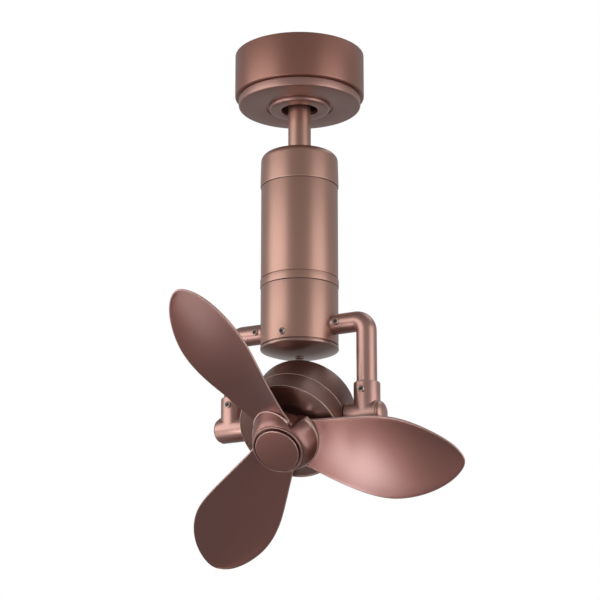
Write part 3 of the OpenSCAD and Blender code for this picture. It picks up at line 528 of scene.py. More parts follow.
def mark_highlight(mesh, points):
    """Marks a cut mesh with the painted highlight of the points it was made from. Points that the cut
    added have no mark.
    """
    tree = KDTree(len(points))
    for index, (spot, _) in enumerate(points):
        tree.insert(spot, index)
    tree.balance()
    layer = mesh.attributes.get(PAINTED_HIGHLIGHT_LAYER) or mesh.attributes.new(PAINTED_HIGHLIGHT_LAYER, "FLOAT", "POINT")
    for vert, item in zip(mesh.vertices, layer.data):
        _, index, gap = tree.find(vert.co)
        item.value = points[index][1] if gap < SAME_PLACE else 0.0


def cut(target, *cutters, operation="DIFFERENCE", sharp=SHARP_ANGLE):
    """Cuts the cutters out of a piece, or joins them to it, and deletes them."""
    for cutter in cutters:
        # The painted highlight marks are carried over to the cut mesh.
        points = highlight_points(target.data) + highlight_points(cutter.data)
        step = target.modifiers.new("cut", "BOOLEAN")
        step.operation = operation
        step.solver = "EXACT"
        step.object = cutter
        bpy.context.view_layer.update()
        shaped = target.evaluated_get(bpy.context.evaluated_depsgraph_get())
        result = bpy.data.meshes.new_from_object(shaped)
        target.modifiers.clear()
        mark_highlight(result, points)
        target.data = result
        bpy.data.objects.remove(cutter)
    smooth(target.data, sharp)


def cylinder(radius, low, high, place):
    corners = [(0, low, 0), (radius, low, 0), (radius, high, 0), (0, high, 0)]
    return turned("cutter", corners, place, segments=96)


# ------------------------------------------------------------------ ceiling side

def make_canopy():
    floor = -CANOPY_H
    inner = CANOPY_R - CANOPY_WALL
    opening = COVER_HOLE_R + 2
    wall = turned("canopy_drum", [
        (inner, CANOPY_TOP, 0), (CANOPY_R, CANOPY_TOP, 0.3), (CANOPY_R, floor, 2.0),
        (opening, floor, 0), (opening, floor + CANOPY_WALL, 0), (inner, floor + CANOPY_WALL, 1.0),
    ])
    finished(wall, BRONZE_CANOPY_SHADED, "ceiling_mount", "bronze_paint", "canopy")

    top = floor - COVER_GAP
    lip = COVER_R - COVER_STEP
    inside = lip - CANOPY_WALL
    seat = COVER_BOTTOM + CANOPY_WALL
    cover = turned("canopy_lower_cover", [
        (inside, floor, 0), (lip, floor, 0), (lip, top, 0), (COVER_R, top, 0.7),
        (COVER_R, COVER_BOTTOM, 2.4), (COVER_HOLE_R, COVER_BOTTOM, 0.5),
        (COVER_HOLE_R, seat, 0), (inside, seat, 0),
    ])
    finished(cover, BRONZE_COVER, "ceiling_mount", "bronze_paint", "canopy_cover")

    low = COVER_BOTTOM - COLLAR_DROP
    lip_top = low + 6
    flange = COVER_HOLE_R + 4
    inside = COLLAR_R - COLLAR_WALL
    collar = turned("canopy_soft_collar", [
        (COLLAR_HOLE_R, lip_top, 0), (COLLAR_HOLE_R, low, 1.2), (COLLAR_R, low, 3.4),
        (COLLAR_R, seat, 0), (flange, seat, 0), (flange, seat + COLLAR_WALL, 0),
        (inside, seat + COLLAR_WALL, 0), (inside, lip_top, 0),
    ])
    finished(collar, BRONZE_COVER, "ceiling_mount", "bronze_moulding", "canopy_collar")


# ------------------------------------------------------------------ body

def make_rod():
    bore = ROD_R - ROD_WALL
    low = CAP_BOTTOM + 2
    tube = turned("downrod_tube", [
        (bore, low, 0), (ROD_R, low, 0.3), (ROD_R, ROD_TOP, 0.4), (bore, ROD_TOP, 0),
    ], segments=96)
    finished(tube, BRONZE, "upper_body", "bronze_paint", "downrod")


def make_body():
    hole = ROD_R + 0.5
    roof = BODY_TOP - CAP_WALL
    skirt = BODY_R + 0.9
    step_r = BODY_R - 0.5
    inner = BODY_IN - 0.4
    flange_top = CAP_BOTTOM + FLANGE_T
    cap = turned("body_upper_cap", [
        (hole, roof, 0), (hole, BODY_TOP, 0.3), (BODY_R, BODY_TOP, 8), (skirt, CAP_BOTTOM, 0.8),
        (step_r, CAP_BOTTOM, 0), (step_r, flange_top, 0), (inner, flange_top, 0), (inner - 1, roof, 6),
    ], steps=12)
    finished(cap, BRONZE, "upper_body", "bronze_paint", "upper_cap")

    groove_r = BODY_R - GROOVE_DEPTH
    groove_top = CAP_BOTTOM - 0.9
    groove_low = TUBE_BOTTOM + 1.3
    tube = turned("body_plain_tube", [
        (BODY_IN, TUBE_BOTTOM, 0), (groove_r, TUBE_BOTTOM, 0), (groove_r, groove_low, 0),
        (BODY_R, groove_low, 0.25), (BODY_R, groove_top, 0.25),
        (groove_r, groove_top, 0), (groove_r, CAP_BOTTOM, 0), (BODY_IN, CAP_BOTTOM, 0),
    ])
    finished(tube, BRONZE, "upper_body", "bronze_paint", "body_tube")

    outer = BODY_R + 0.6
    rim = BODY_R - 0.28
    rim_low = TUBE_BOTTOM - RIM_T
    ring = turned("body_trim_ring", [
        (BODY_IN, RING_BOTTOM, 0), (outer, RING_BOTTOM, 0.5), (outer, TUBE_BOTTOM, 0.5),
        (rim, TUBE_BOTTOM, 0), (rim, rim_low, 0), (BODY_IN, rim_low, 0),
    ])
    finished(ring, BRONZE, "upper_body", "bronze_paint", "trim_ring")


def arm_hole():
    """A cutter through both sides of the housing, where the arms come out."""
    reach = 60
    return cylinder(ARM_R + ARM_PLAY, -reach, reach, Matrix.Translation((0, 0, ARM_Z)) @ TURN_Z_TO_X)


def bowl(radius, centre, angles):
    """Corners along the section of a bowl, at angles from its lowest point."""
    return [(radius * math.sin(angle), centre - radius * math.cos(angle), 0) for angle in angles]


def make_housing():
    under = HOUSING_TOP - HOUSING_ROOF_T
    shell = turned("orbit_housing_shell", [
        (SPINDLE_BORE_R, under, 0), (BODY_IN, under, 0), (BODY_IN, HOUSING_BOTTOM, 0),
        (BODY_R, HOUSING_BOTTOM, 0.4), (BODY_R, HOUSING_TOP, 0.6), (SPINDLE_BORE_R, HOUSING_TOP, 0),
    ])
    cut(shell, arm_hole())
    finished(shell, BRONZE, "orbit_body", "bronze_paint", "orbit_housing")

    rim = BODY_R + 0.3
    rim_top = HOUSING_BOTTOM - 1.5
    spigot = BODY_IN - 0.15
    spigot_top = HOUSING_BOTTOM + 14
    low = RIM_BOTTOM - DOME_DEPTH
    ball_r = (rim * rim + DOME_DEPTH * DOME_DEPTH) / (2 * DOME_DEPTH)
    edge = math.asin(rim / ball_r)
    inner_edge = edge * 0.86
    steps = 24
    middle = low + ball_r
    skin = bowl(ball_r, middle, [edge * k / steps for k in range(steps)])
    lining = bowl(ball_r - DOME_WALL, middle, [inner_edge * k / steps for k in range(steps, -1, -1)])
    dome = turned("housing_dome", skin + [
        (rim, RIM_BOTTOM, 1.2), (rim, rim_top, 0.7), (spigot, rim_top, 0), (spigot, spigot_top, 0),
        (spigot - DOME_WALL, spigot_top, 0), (spigot - DOME_WALL, RIM_BOTTOM + 1.5, 0),
    ] + lining)
    cut(dome, arm_hole())
    finished(dome, BRONZE_DOME_SHADED, "orbit_body", "bronze_paint", "bottom_dome")

    face = low - FINIAL_H
    finial = turned("dome_finial_screw", [
        (0, face, 0), (FINIAL_FACE_R, face, 0.8), (FINIAL_R, low - 0.9, 0.5), (FINIAL_R, low, 0),
        (0, low, 0),
    ], segments=48)
    finished(finial, BRONZE_DRUM, "orbit_body", "dark_screw", "dome_screw")


# ------------------------------------------------------------------ arms, tees and screws

def arm_path():
    """Centre line of the right arm: out of the housing, round the bend and down into its tee."""
    bend_x = ARM_X - BEND_R
    turns = 20
    path = [Vector((BODY_IN - 2, 0, ARM_Z)), Vector((BODY_R, 0, ARM_Z))]
    for k in range(turns + 1):
        a = math.pi / 2 * (1 - k / turns)
        path.append(Vector((bend_x + BEND_R * math.cos(a), 0, ARM_Z - BEND_R + BEND_R * math.sin(a))))
    return path + [Vector((ARM_X, 0, PIVOT_Z + SOCKET_H)), Vector((ARM_X, 0, PIVOT_Z + ARM_FOOT))]


def mirrored(bm, side):
    """The mesh as it is for the right side, and mirrored for the left one."""
    if side < 0:
        bm.transform(Matrix.Scale(-1, 4, (1, 0, 0)))
        bmesh.ops.reverse_faces(bm, faces=bm.faces)
    return bm


def make_arm(word, side):
    path = arm_path()
    arm = piece(f"arm_tube_{word}", mirrored(swept(path, ARM_R), side))
    start = path[0] + (path[0] - path[1])
    end = path[-1] + (path[-1] - path[-2]).normalized()
    bore = piece("bore", mirrored(swept([start, *path[1:-1], end], ARM_R - ARM_WALL), side))
    cut(arm, bore)
    finished(arm, BRONZE_ARM, "orbit_body", "bronze_paint", f"arm_{word}")


def make_tee(word, side):
    place = PIVOT @ Matrix.Scale(side, 4, (1, 0, 0))
    along = place @ TURN_Z_TO_X
    upright = place @ Matrix.Translation((ARM_X, 0, 0))
    barrel_out = BARREL_IN + BARREL_L
    tee = turned(f"tee_casting_{word}", [
        (0, BARREL_IN, 0), (TEE_R, BARREL_IN, 0.8), (TEE_R, barrel_out, 0.5), (0, barrel_out, 0),
    ], along, segments=112)
    socket = turned("socket", [
        (0, 0, 0), (TEE_R, 0, 0), (TEE_R, SOCKET_H, 1.9), (0, SOCKET_H, 0),
    ], upright, segments=112)
    cut(tee, socket, operation="UNION")
    cut(
        tee,
        cylinder(ARM_R + 0.05, SOCKET_FLOOR, SOCKET_H + 5, upright),
        cylinder(STUB_BORE_R, BARREL_IN - 1, barrel_out - 1, along),
        cylinder(NUT_BORE_R, ARM_X, barrel_out + 1, along),
    )
    finished(tee, BRONZE_ARM, "orbit_body", "bronze_casting", f"tee_{word}")

    base = TEE_R - 1.4
    steps = 12
    dome = [
        (base * math.cos(a), barrel_out + END_CAP_RIM + (END_CAP_L - END_CAP_RIM) * math.sin(a), 0)
        for a in (math.pi / 2 * k / steps for k in range(steps))
    ]
    plug_end = barrel_out - PLUG_L
    cap = turned(f"tee_domed_cap_{word}", [
        (0, plug_end, 0), (PLUG_R, plug_end, 0), (PLUG_R, barrel_out, 0), (base, barrel_out, 0),
    ] + dome + [(0, barrel_out + END_CAP_L, 0)], along, segments=96)
    finished(cap, BRONZE_ARM, "orbit_body", "bronze_casting", f"tee_cap_{word}")


def make_master_screw():
    """Low rounded screw head with a cross recess, its seat at the origin and its head towards -Y."""
    shank_r, shank_l = 1.7, 3.5
    head_h, dish_h, middle_h = 1.6, 1.1, 1.3
    screw = turned("screw_master", [
        (0, -shank_l, 0), (shank_r, -shank_l, 0), (shank_r, 0, 0), (SCREW_R, 0, 0),
        (SCREW_R, head_h, 1.3), (SCREW_R - 1.7, head_h - 0.1, 0.2), (SCREW_R - 2.0, dish_h, 0),
        (0, middle_h, 0),
    ], TURN_Z_TO_FRONT, segments=40)
    wing, width, depth, taper = 2.1, 0.75, 1.3, 0.45
    for angle in (math.pi / 4, math.pi * 3 / 4):
        bm = bmesh.new()
        bmesh.ops.create_cube(bm, size=1)
        bmesh.ops.scale(bm, verts=bm.verts, vec=(2 * wing, width, 2 * depth))
        for vert in bm.verts:
            if vert.co.z < 0:
                vert.co.x *= taper
        turn = Matrix.Rotation(angle, 4, "Z")
        slot = piece("recess", bm, TURN_Z_TO_FRONT @ Matrix.Translation((0, 0, head_h)) @ turn)
        cut(screw, slot)
    return screw


def make_screws():
    """One screw, copied to each place, where -1 faces the front and 1 the back."""
    places = [("housing_screws", f"housing_{word}", (0, side * BODY_R, SCREW_Z), side)
              for word, side in (("front", -1), ("back", 1))]
    for word, side in LEFT_RIGHT:
        arm_spot = (side * (BODY_R + ARM_SCREW_OUT), -ARM_R, ARM_Z)
        tee_spot = (side * ARM_X, -TEE_R, PIVOT_Z + TEE_SCREW_RISE)
        places.append(("arm_screws", f"arm_{word}", arm_spot, -1))
        places.append(("tee_screws", f"tee_{word}", tee_spot, -1))
    master = make_master_screw()
    for node, word, spot, side in places:
        screw = bpy.data.objects.new(f"cross_screw_{word}", master.data.copy())
        bpy.context.scene.collection.objects.link(screw)
        turn = UPRIGHT if side < 0 else Matrix.Rotation(math.pi, 4, "Z")
        screw.data.transform(Matrix.Translation(Vector(spot) * MM) @ turn)
        finished(screw, DARK_SCREW, "orbit_body", "dark_screw", node)
    bpy.data.objects.remove(master)


# ------------------------------------------------------------------ fan head

def make_head():
    inner = DRUM_R - DRUM_WALL
    back = -DRUM_BACK
    wall_in = back + 2
    boss_top = back + 10
    rear = turned("drum_rear_shell", [
        (inner, SHELL_JOINT, 0), (DRUM_R, SHELL_JOINT, 0.5), (DRUM_R, back, 12.0), (0, back - 0.6, 0),
        (0, back + 1, 0), (BEARING_R, back + 1, 0), (BEARING_R, boss_top, 0), (BOSS_R, boss_top, 0),
        (BOSS_R, wall_in, 0), (inner, wall_in, 10.0),
    ], HEAD, segments=160, steps=12)
    joint = SHELL_JOINT + 0.1
    ledge_r = inner - 3
    ledge_low = PLATE_H - 2
    front = turned("drum_front_shell", [
        (inner, joint, 0), (DRUM_R, joint, 0.5), (DRUM_R, DRUM_FRONT, 0.7), (inner, DRUM_FRONT, 0.6),
        (inner, PLATE_H, 0), (ledge_r, PLATE_H, 0), (ledge_r, ledge_low, 0), (inner, ledge_low, 0),
    ], HEAD, segments=160)
    finished(rear, BRONZE_DRUM, "fan_head", "bronze_casting", "head_shell_rear")
    finished(front, BRONZE_DRUM, "fan_head", "bronze_casting", "head_shell_front")

    edge = inner - 0.2
    edge_top = DRUM_FRONT - 0.4
    recess_r = HUB_COLLAR_R + 3
    recess = PLATE_H + 2.5
    boss_low = PLATE_H - 5
    shaft_hole = 6
    web = PLATE_H + 0.7
    plate = turned("drum_front_plate", [
        (BEARING_R, boss_low, 0), (BOSS_R, boss_low, 0), (BOSS_R, PLATE_H, 0), (edge, PLATE_H, 0),
        (edge, edge_top, 0.3), (recess_r, DRUM_FRONT, 0.8), (recess_r, recess, 1.0),
        (shaft_hole, recess, 0.4), (shaft_hole, web, 0), (BEARING_R, web, 0),
    ], HEAD)
    finished(plate, BRONZE_FACE, "fan_head", "bronze_casting", "motor_front_plate")


# ------------------------------------------------------------------ blades

BLADE_SEAT = 32.4
BLADE_ROOT_R = HUB_R + 1.4
BLADE_ROOT_T = 4.4
BLADE_TIP_T = 2.4
BLADE_REACH = 203.0
BLADE_CUP = 0.16
BLADE_EDGE = 1.5
ROOT_FRONT = 22.0
ROOT_BACK = -24.0

# Height over the seat: what it rises as the share of the reach, what it falls as that share squared,
# and the lift near the root. The root zone is a share of the reach.
RISE_NEAR = 71.0
RISE_FAR = 54.8
ROOT_LIFT = 3.6
ROOT_ZONE = 0.35

# Pitch in degrees: half way out, its change from root to tip, and its change near the root
BLADE_PITCH = 15.8
BLADE_TWIST = 24.5
ROOT_EASE = 5.7

# The blade's outline is a cubic B-spline. Each of its control points has a reach from the motor axis
# and an offset along the pitched sheet.
CUBIC = 3
OUTLINE = [
    (33, 25), (84, 38), (103, 42), (140, 43), (184, 24), (200, 6),
    (202, -8), (181, -32), (135, -50), (98, -47), (33, -28),
]


def near_root(x):
    """From 1 on the motor axis down to 0 where the root zone ends."""
    return max(0.0, 1 - x / BLADE_REACH / ROOT_ZONE)


def pitch_at(x):
    twist = BLADE_TWIST * (x / BLADE_REACH - 0.5)
    return math.radians(-BLADE_PITCH + twist + ROOT_EASE * near_root(x))


def rise_at(x):
    share = x / BLADE_REACH
    return RISE_NEAR * share - RISE_FAR * share * share + ROOT_LIFT * near_root(x)


def cup(before, after):
    """How far the sheet is cupped at a place between both edges, from its distance to each."""
    if before <= 0 or after <= 0:
        return 0.0
    return BLADE_CUP * before * after / (before + after)


def sheet_height(x, y):
    """Height of the cupped sheet over the hub, where its edges are nearly straight."""
    s = y / math.cos(pitch_at(x))
    (x0, front), (x1, front_out) = OUTLINE[:2]
    (x2, back_out), (_, back) = OUTLINE[-2:]
    front += (front_out - front) * (x - x0) / (x1 - x0)
    back += (back_out - back) * (x - x0) / (x2 - x0)
    return BLADE_SEAT + rise_at(x) + y * math.tan(pitch_at(x)) - cup(front - s, s - back)


def blade_thickness(x):
    return BLADE_ROOT_T + (BLADE_TIP_T - BLADE_ROOT_T) * min(1.0, x / BLADE_REACH)


def knot(i):
    return max(0.0, min(1.0, (i - CUBIC) / (len(OUTLINE) - CUBIC)))


def share_of(t, start, end):
    return 0.0 if start == end else (t - start) / (end - start)


def weight(i, degree, t):
    """Weight of control point i on a B-spline of that degree, at t from 0 to 1."""
    if degree == 0:
        return 1.0 if knot(i) <= t < knot(i + 1) else 0.0
    return (share_of(t, knot(i), knot(i + degree)) * weight(i, degree - 1, t)
            + share_of(t, knot(i + degree + 1), knot(i + 1)) * weight(i + 1, degree - 1, t))


def outline_at(t):
    weights = [weight(i, CUBIC, t) for i in range(len(OUTLINE))]
    return Vector([sum(w * point[axis] for w, point in zip(weights, OUTLINE)) for axis in (0, 1)])


def sheet_point(flat, lift):
    """The point of the twisted sheet at reach x and offset s, raised by lift."""
    x, s = flat
    pitch = pitch_at(x)
    return Vector((x, s * math.cos(pitch), BLADE_SEAT + rise_at(x) + s * math.sin(pitch) + lift))


def blade_loop(stations):
    """The blade's outline from its root at the hub, out along the front edge, round the tip and back.

    The stations lie closer together towards the tip.
    """
    short_of_tip, short_of_end, crowding = 0.4999, 1e-6, 1.4
    near, far = [], []
    for y, side in ((ROOT_FRONT, near), (ROOT_BACK, far)):
        x = root_reach(y)
        side.append(Vector((x, y / math.cos(pitch_at(x)))))
    for k in range(stations):
        t = short_of_tip * (1 - (1 - k / (stations - 1)) ** crowding)
        near.append(outline_at(t))
        far.append(outline_at(1 - t - short_of_end))
    return near + far[::-1]


def root_reach(y):
    """Reach of the root line, which is round the hub, at offset y."""
    return math.sqrt(BLADE_ROOT_R ** 2 - y * y)


def join_rows(bm, one, two):
    """Faces between two rows of points."""
    for k in range(len(one) - 1):
        bm.faces.new((one[k], one[k + 1], two[k + 1], two[k]))


def inward_from(loop):
    """Direction from each point of the outline to the inside of the blade."""
    inward = []
    for k in range(len(loop)):
        run = loop[(k + 1) % len(loop)] - loop[k - 1]
        inward.append(Vector((run.y, -run.x)).normalized())
    inward[0] = inward[1]
    inward[-1] = inward[-2]
    return inward


def blade_rims(bm, loop, inward):
    """Rows of points along the blade's rounded edge, from its underside to its upper side. The edge
    carries a painted highlight, most in the middle of its rounding.
    """
    layer = bm.verts.layers.float.new(PAINTED_HIGHLIGHT_LAYER)
    steps = 12
    rims = []
    for step in range(steps + 1):
        angle = math.pi * (step / steps - 0.5)
        rim = []
        for point, normal, opposite in zip(loop, inward, reversed(loop)):
            flat = point + normal * BLADE_EDGE * (1 - math.cos(angle))
            lift = blade_thickness(flat.x) / 2 * math.sin(angle)
            lift -= cup((flat - point).length, (flat - opposite).length)
            rim.append(bm.verts.new(sheet_point(flat, lift)))
            # Painted highlight along the blade's edge, strongest where the edge faces straight out.
            rim[-1][layer] = math.cos(angle)
        rims.append(rim)
    return rims


def blade_face(bm, loop, inward, rim, side):
    """Fills the blade's underside, -1, or its upper side, 1, and gives back the row at its root."""
    across = 24
    grid = []
    for k in range(len(loop) // 2):
        first = loop[k] + inward[k] * BLADE_EDGE
        last = loop[-1 - k] + inward[-1 - k] * BLADE_EDGE
        row = [rim[k]]
        for c in range(1, across):
            flat = first.lerp(last, c / across)
            if k == 0:
                flat.x = root_reach(flat.y * math.cos(pitch_at(flat.x)))
            lift = side * blade_thickness(flat.x) / 2
            lift -= cup((flat - loop[k]).length, (flat - loop[-1 - k]).length)
            row.append(bm.verts.new(sheet_point(flat, lift)))
        grid.append(row + [rim[-1 - k]])
    for one, two in zip(grid, grid[1:]):
        join_rows(bm, one, two)
    return grid[0]


def blade_mesh():
    """A blade: rounded edges about its outline, both faces filled across, and its root closed."""
    loop = blade_loop(stations=84)
    inward = inward_from(loop)
    bm = bmesh.new()
    rims = blade_rims(bm, loop, inward)
    for low, high in zip(rims, rims[1:]):
        join_rows(bm, low, high)
    under_root = blade_face(bm, loop, inward, rims[0], -1)
    upper_root = blade_face(bm, loop, inward, rims[-1], 1)
    join_rows(bm, under_root, upper_root)
    for end in (0, -1):
        bm.faces.new([rim[end] for rim in rims])
    return bm


def blade_place(index):
    return HEAD @ Matrix.Rotation(math.radians(BLADE_PHASE + 360 * index / BLADE_COUNT), 4, "Z")


def make_blades():
    for index in range(BLADE_COUNT):
        blade = piece(f"curved_blade_{index + 1}", blade_mesh(), blade_place(index), sharp=40)
        finished(blade, BRONZE_BLADE, "rotor", "bronze_moulding", f"blade_{index + 1}")


# ------------------------------------------------------------------ hub

HUB_WALL = 3.0
HUB_WEB = 45.0
HUB_WEB_T = 5.0
HUB_COLLAR_R = 21.5
HUB_BOSS_R = 9.0
SHAFT_R = 4.0
CAP_SPIGOT_R = 22.0
CAP_SPIGOT_WALL = 2.5

# A lobe reaches round the hub from one angle to the other, in degrees from the middle of its blade. It
# is wider at its root, by the spread, and comes down to its lip along a curve, by the fall.
LOBE_FROM = -51.0
LOBE_TO = 46.0
LOBE_ROOT_R = HUB_R - 1.5
LOBE_TOP = HUB_FACE - 2.2
LOBE_SPREAD = 0.36
LOBE_FALL = 1.7
LOBE_PLAY = 0.2

# A lip's reach past the hub's ring, its thickness, and how both change towards LIP_HALF degrees
LIP_HALF = 45
LIP_REACH = 10
LIP_LEAN = 1.6
LIP_ROUND = 3.8
LIP_T = 1
LIP_T_FRONT = 6.2
LIP_T_BACK = 2.6
LIP_BEVEL = 0.7

# How much painted highlight a lip gets at its edge, and on the two rows of points before it
LIP_HIGHLIGHT = 1.7
LIP_HIGHLIGHT_NEAR = 0.9
LIP_HIGHLIGHT_FAR = 0.1


def lip_radius(angle):
    """How far out a lobe's lip is: furthest near the middle of its blade."""
    turn = angle / LIP_HALF
    return HUB_R + LIP_REACH + LIP_LEAN * turn - LIP_ROUND * turn * turn


def lip_thickness(angle):
    """A lip is thin in the middle and thicker to both sides, most of all to the blade's front edge."""
    turn = angle / LIP_HALF
    return LIP_T + LIP_T_FRONT * max(0.0, turn) ** 1.6 + LIP_T_BACK * max(0.0, -turn) ** 3


def lobe_floor(x, y):
    """The height of a lobe's underside, just over the blade."""
    return sheet_height(x, y) + blade_thickness(x) / 2 + LOBE_PLAY


def lobe_section(angle, inset):
    """Closed section of a lobe from the hub out to its lip and back below, drawn in by inset.

    Each point comes with its share of painted highlight. The rows lie closer together towards the lip.
    """
    rows, crowding = 14, 1.5
    lip = lip_radius(angle) - inset
    edge = math.radians(angle)
    top = LOBE_TOP - inset
    low = lobe_floor(lip * math.cos(edge), lip * math.sin(edge))
    high = low + lip_thickness(angle) - inset
    bevel = min(LIP_BEVEL, (high - low) / 3)
    upper, under = [], []
    for j in range(rows + 1):
        share = 1 - (1 - j / rows) ** crowding
        turn = edge * (1 + LOBE_SPREAD * (1 - share))
        radius = LOBE_ROOT_R + (lip - bevel - LOBE_ROOT_R) * share
        x, y = radius * math.cos(turn), radius * math.sin(turn)
        upper.append(Vector((x, y, high + (top - high) * (1 - share ** LOBE_FALL))))
        under.append(Vector((x, y, lobe_floor(x, y) + inset)))
    out = Vector((math.cos(edge), math.sin(edge), 0))
    rim = []
    for centre, start in ((high - bevel, 90), (low + inset + bevel, 0)):
        for step in range(4):
            a = math.radians(start - 30 * step)
            spot = out * (lip - bevel + bevel * math.cos(a))
            rim.append(Vector((spot.x, spot.y, centre + bevel * math.sin(a))))
    plain = [(point, 0.0) for point in upper[:-3]]
    # Painted highlight on the lip and the two rows before it.
    highlighted = [(upper[-3], LIP_HIGHLIGHT_FAR), (upper[-2], LIP_HIGHLIGHT_NEAR)] + [(point, LIP_HIGHLIGHT) for point in rim]
    below = [(point, 0.0) for point in under[-2::-1]]
    return plain + highlighted + below


def lobe_mesh():
    """A lobe: sections round the hub, drawn in at both ends so that its edges are rounded."""
    steps, ease = 44, 0.7
    span = [LOBE_FROM + (LOBE_TO - LOBE_FROM) * i / steps for i in range(1, steps)]
    end_inset, near_inset, near_end = 0.45, 0.14, ease * 0.3
    plan = [(LOBE_FROM, end_inset), (LOBE_FROM + near_end, near_inset), (LOBE_FROM + ease, 0.0)]
    plan += [(angle, 0.0) for angle in span if LOBE_FROM + ease < angle < LOBE_TO - ease]
    plan += [(LOBE_TO - ease, 0.0), (LOBE_TO - near_end, near_inset), (LOBE_TO, end_inset)]
    bm = bmesh.new()
    layer = bm.verts.layers.float.new(PAINTED_HIGHLIGHT_LAYER)
    rings = []
    for angle, inset in plan:
        rings.append([])
        for point, highlight in lobe_section(angle, inset):
            rings[-1].append(bm.verts.new(point))
            rings[-1][-1][layer] = highlight
    for near, far in zip(rings, rings[1:]):
        join_rings(bm, near, far)
    bm.faces.new(rings[0])
    bm.faces.new(reversed(rings[-1]))
    return bm


def make_hub():
    web_top = HUB_WEB + HUB_WEB_T
    wall_foot = HUB_WEB - 9
    wall_in = HUB_R - HUB_WALL
    boss_low = wall_foot - 2
    collar_in = HUB_COLLAR_R - 3.5
    collar_low = PLATE_H + 5
    socket_r = CAP_SPIGOT_R + 0.1
    groove_r = HUB_CAP_R + CAP_GROOVE_W
    groove_foot = HUB_FACE - 3.4
    hub = turned("hub_with_lobes", [
        (SHAFT_R, boss_low, 0), (SHAFT_R, web_top, 0), (socket_r, web_top, 0),
        (socket_r, groove_foot, 0), (groove_r, groove_foot, 0), (groove_r, HUB_FACE, 0.35),
        (HUB_R - 1.0, HUB_FACE, 0.7), (HUB_R + 0.3, web_top, 0), (HUB_R + 0.6, wall_foot, 0.6),
        (wall_in, wall_foot, 0.4), (wall_in, HUB_WEB, 0), (HUB_COLLAR_R, HUB_WEB, 0),
        (HUB_COLLAR_R, collar_low, 0.4), (collar_in, collar_low, 0), (collar_in, HUB_WEB, 0),
        (HUB_BOSS_R, HUB_WEB, 0), (HUB_BOSS_R, boss_low, 0),
    ], HEAD, segments=144)
    lobes = [piece("lobe", lobe_mesh(), blade_place(index)) for index in range(BLADE_COUNT)]
    cut(hub, *lobes, operation="UNION", sharp=38)
    finished(hub, BRONZE_BLADE, "rotor", "bronze_moulding", "rotor_hub")


def make_cap():
    spigot_in = CAP_SPIGOT_R - CAP_SPIGOT_WALL
    spigot_low = HUB_FACE - 9
    under = HUB_FACE - 3
    face = HUB_FACE + CAP_RISE
    cap = turned("hub_face_cap", [
        (0, under, 0), (spigot_in, under, 0), (spigot_in, spigot_low, 0),
        (CAP_SPIGOT_R, spigot_low, 0), (CAP_SPIGOT_R, under, 0), (HUB_CAP_R, under, 0),
        (HUB_CAP_R, face, 1.0), (0, face + CAP_CROWN, 0),
    ], HEAD)
    finished(cap, BRONZE_BLADE, "rotor", "bronze_moulding", "hub_cap")


# ------------------------------------------------------------------ nodes that keep their own shape

def dress_nodes():
    finishes = {
        ZINC: [
            "ceiling_bracket", "ball_pin", "coupling_pin", "tie_rods", "gearmotor_shaft",
            "orbit_spindle", "spindle_nut", "trunnion_nuts", "motor_shaft", "hub_nut", "drive_pinion",
        ],
        GROUND_STEEL: ["spindle_bearing", "motor_bearings"],
        ALLOY: ["rod_coupling", "gear_plate", "arm_block"],
        IRON: ["motor_stator", "motor_rotor", "orbit_gearmotor"],
        COPPER: ["motor_windings"],
        DARK_SCREW: ["canopy_screws"],
        BLACK: ["hanger_ball", "fan_driver", "wireless_receiver", "slip_ring", "friction_washers"],
        NYLON: ["terminal_block", "orbit_gear"],
        BRONZE_ARM: ["trunnion_left", "trunnion_right"],
    }
    for material, names in finishes.items():
        for name in names:
            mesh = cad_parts[name].data
            mesh.materials.clear()
            mesh.materials.append(material)


# ------------------------------------------------------------------ studio and camera

CAMERA_AZIMUTH = math.radians(26.7)
CAMERA_PITCH = math.radians(16.4)
CAMERA_PLACE = Vector((1039.3, -2065.25, -967.5)) * MM
CAMERA_LENS = 132.0
SENSOR = 36.0
LAMP_AWAY = 1.7
LAMP_TARGET = Vector((0, 0, -0.3))
FLOOR_Z = -2.2
FLOOR_REACH = 4.0
WHITE = (1, 1, 1, 1)


def facing(azimuth, pitch):
    """Direction at an angle from +Y towards -X, and an angle above the horizon."""
    level = math.cos(pitch)
    return Vector((-math.sin(azimuth) * level, math.cos(azimuth) * level, math.sin(pitch)))


def make_camera():
    data = bpy.data.cameras.new("camera")
    data.lens = CAMERA_LENS
    data.sensor_width = SENSOR
    data.clip_start = 0.05
    camera = bpy.data.objects.new("camera", data)
    bpy.context.scene.collection.objects.link(camera)
    look = facing(CAMERA_AZIMUTH, CAMERA_PITCH)
    camera.rotation_euler = look.to_track_quat("-Z", "Y").to_euler()
    camera.location = CAMERA_PLACE
    bpy.context.scene.camera = camera


def softbox(name, azimuth, elevation, width, height, watts):
    """A lamp aimed at the fan, at an angle round it from the camera's side and one above the level."""
    data = bpy.data.lights.new(name, "AREA")
    data.shape = "RECTANGLE"
    data.size = width
    data.size_y = height
    data.energy = watts
    lamp = bpy.data.objects.new(name, data)
    bpy.context.scene.collection.objects.link(lamp)
    away = -facing(CAMERA_AZIMUTH + math.radians(azimuth), -math.radians(elevation))
    lamp.location = LAMP_TARGET + away * LAMP_AWAY
    lamp.rotation_euler = (-away).to_track_quat("-Z", "Y").to_euler()


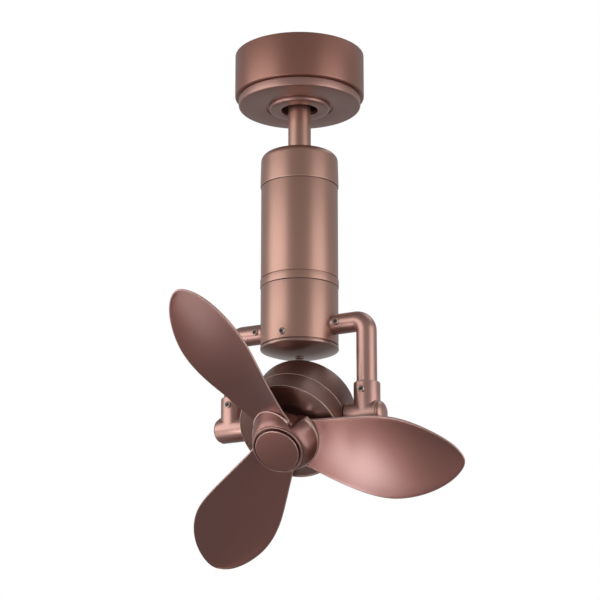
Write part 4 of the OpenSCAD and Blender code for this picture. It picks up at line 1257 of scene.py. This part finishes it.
def make_floor():
    """A pale floor that looks white to the camera and a little darker in reflections."""
    bm = bmesh.new()
    bmesh.ops.create_grid(bm, x_segments=2, y_segments=2, size=FLOOR_REACH / MM)
    floor = piece("studio_floor", bm, Matrix.Translation((0, 0, FLOOR_Z / MM)))
    paint = Finish("studio_floor_paint")
    grain = paint.noise(6.0, 3.0)
    in_view = paint.start.node("ShaderNodeLightPath", output="Is Camera Ray")
    in_gloss = paint.mix(grain, linear(168, 168, 168), linear(176, 176, 175))
    pale = paint.mix(grain, linear(232, 232, 231), linear(238, 238, 236))
    paint.set(
        Base_Color=paint.mix(in_view, in_gloss, pale),
        Emission_Color=paint.mix(in_view, linear(0, 0, 0), linear(182, 182, 180)),
        Emission_Strength=1.0,
        Roughness=0.9,
    )
    floor.data.materials.append(paint.material)
    floor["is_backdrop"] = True


def make_lamps():
    softbox("left_softbox", -68, 9, width=1.9, height=1.15, watts=11.5)
    softbox("right_softbox", 58, -5, width=1.4, height=1.9, watts=12)
    softbox("low_softbox", -46, -34, width=0.55, height=0.5, watts=5.6)
    softbox("hair_softbox", 110, 58, width=1.0, height=1.0, watts=3)
    softbox("back_softbox", -89, -31, width=0.75, height=0.75, watts=2.6)


def make_world():
    """White to the camera, brightest round the level in reflections, and an even light on the fan."""
    level_light, sky_fall, ground_fall, even_light = 0.44, 0.25, 0.28, 0.35
    world = bpy.data.worlds.new("studio")
    bpy.context.scene.world = world
    world.use_nodes = True
    tree = world.node_tree
    back = tree.nodes["Background"]
    start = Flow(tree, None)
    seen = start.node("ShaderNodeLightPath", output="Is Camera Ray")
    glossy = start.node("ShaderNodeLightPath", output="Is Glossy Ray")
    outward = start.node("ShaderNodeTexCoord", output="Generated")
    height = start.node("ShaderNodeSeparateXYZ", output=2, Vector=outward)
    in_gloss = level_light - height.clamped() * sky_fall - (0 - height).clamped() * ground_fall
    strength = seen + glossy * in_gloss + (1 - (seen + glossy).clamped()) * even_light
    tree.links.new(strength.socket, back.inputs["Strength"])
    back.inputs["Color"].default_value = WHITE


# ------------------------------------------------------------------ the fan

make_camera()
make_floor()
make_lamps()
make_world()
make_canopy()
make_rod()
make_body()
make_housing()
for word, side in LEFT_RIGHT:
    make_arm(word, side)
    make_tee(word, side)
make_screws()
make_head()
make_blades()
make_hub()
make_cap()
dress_nodes()

bpy.context.scene.view_settings.view_transform = "Standard"
boxes = {"cad": cad_box, "visual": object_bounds()}
{name: [list(corner) for corner in box] for name, box in boxes.items()}
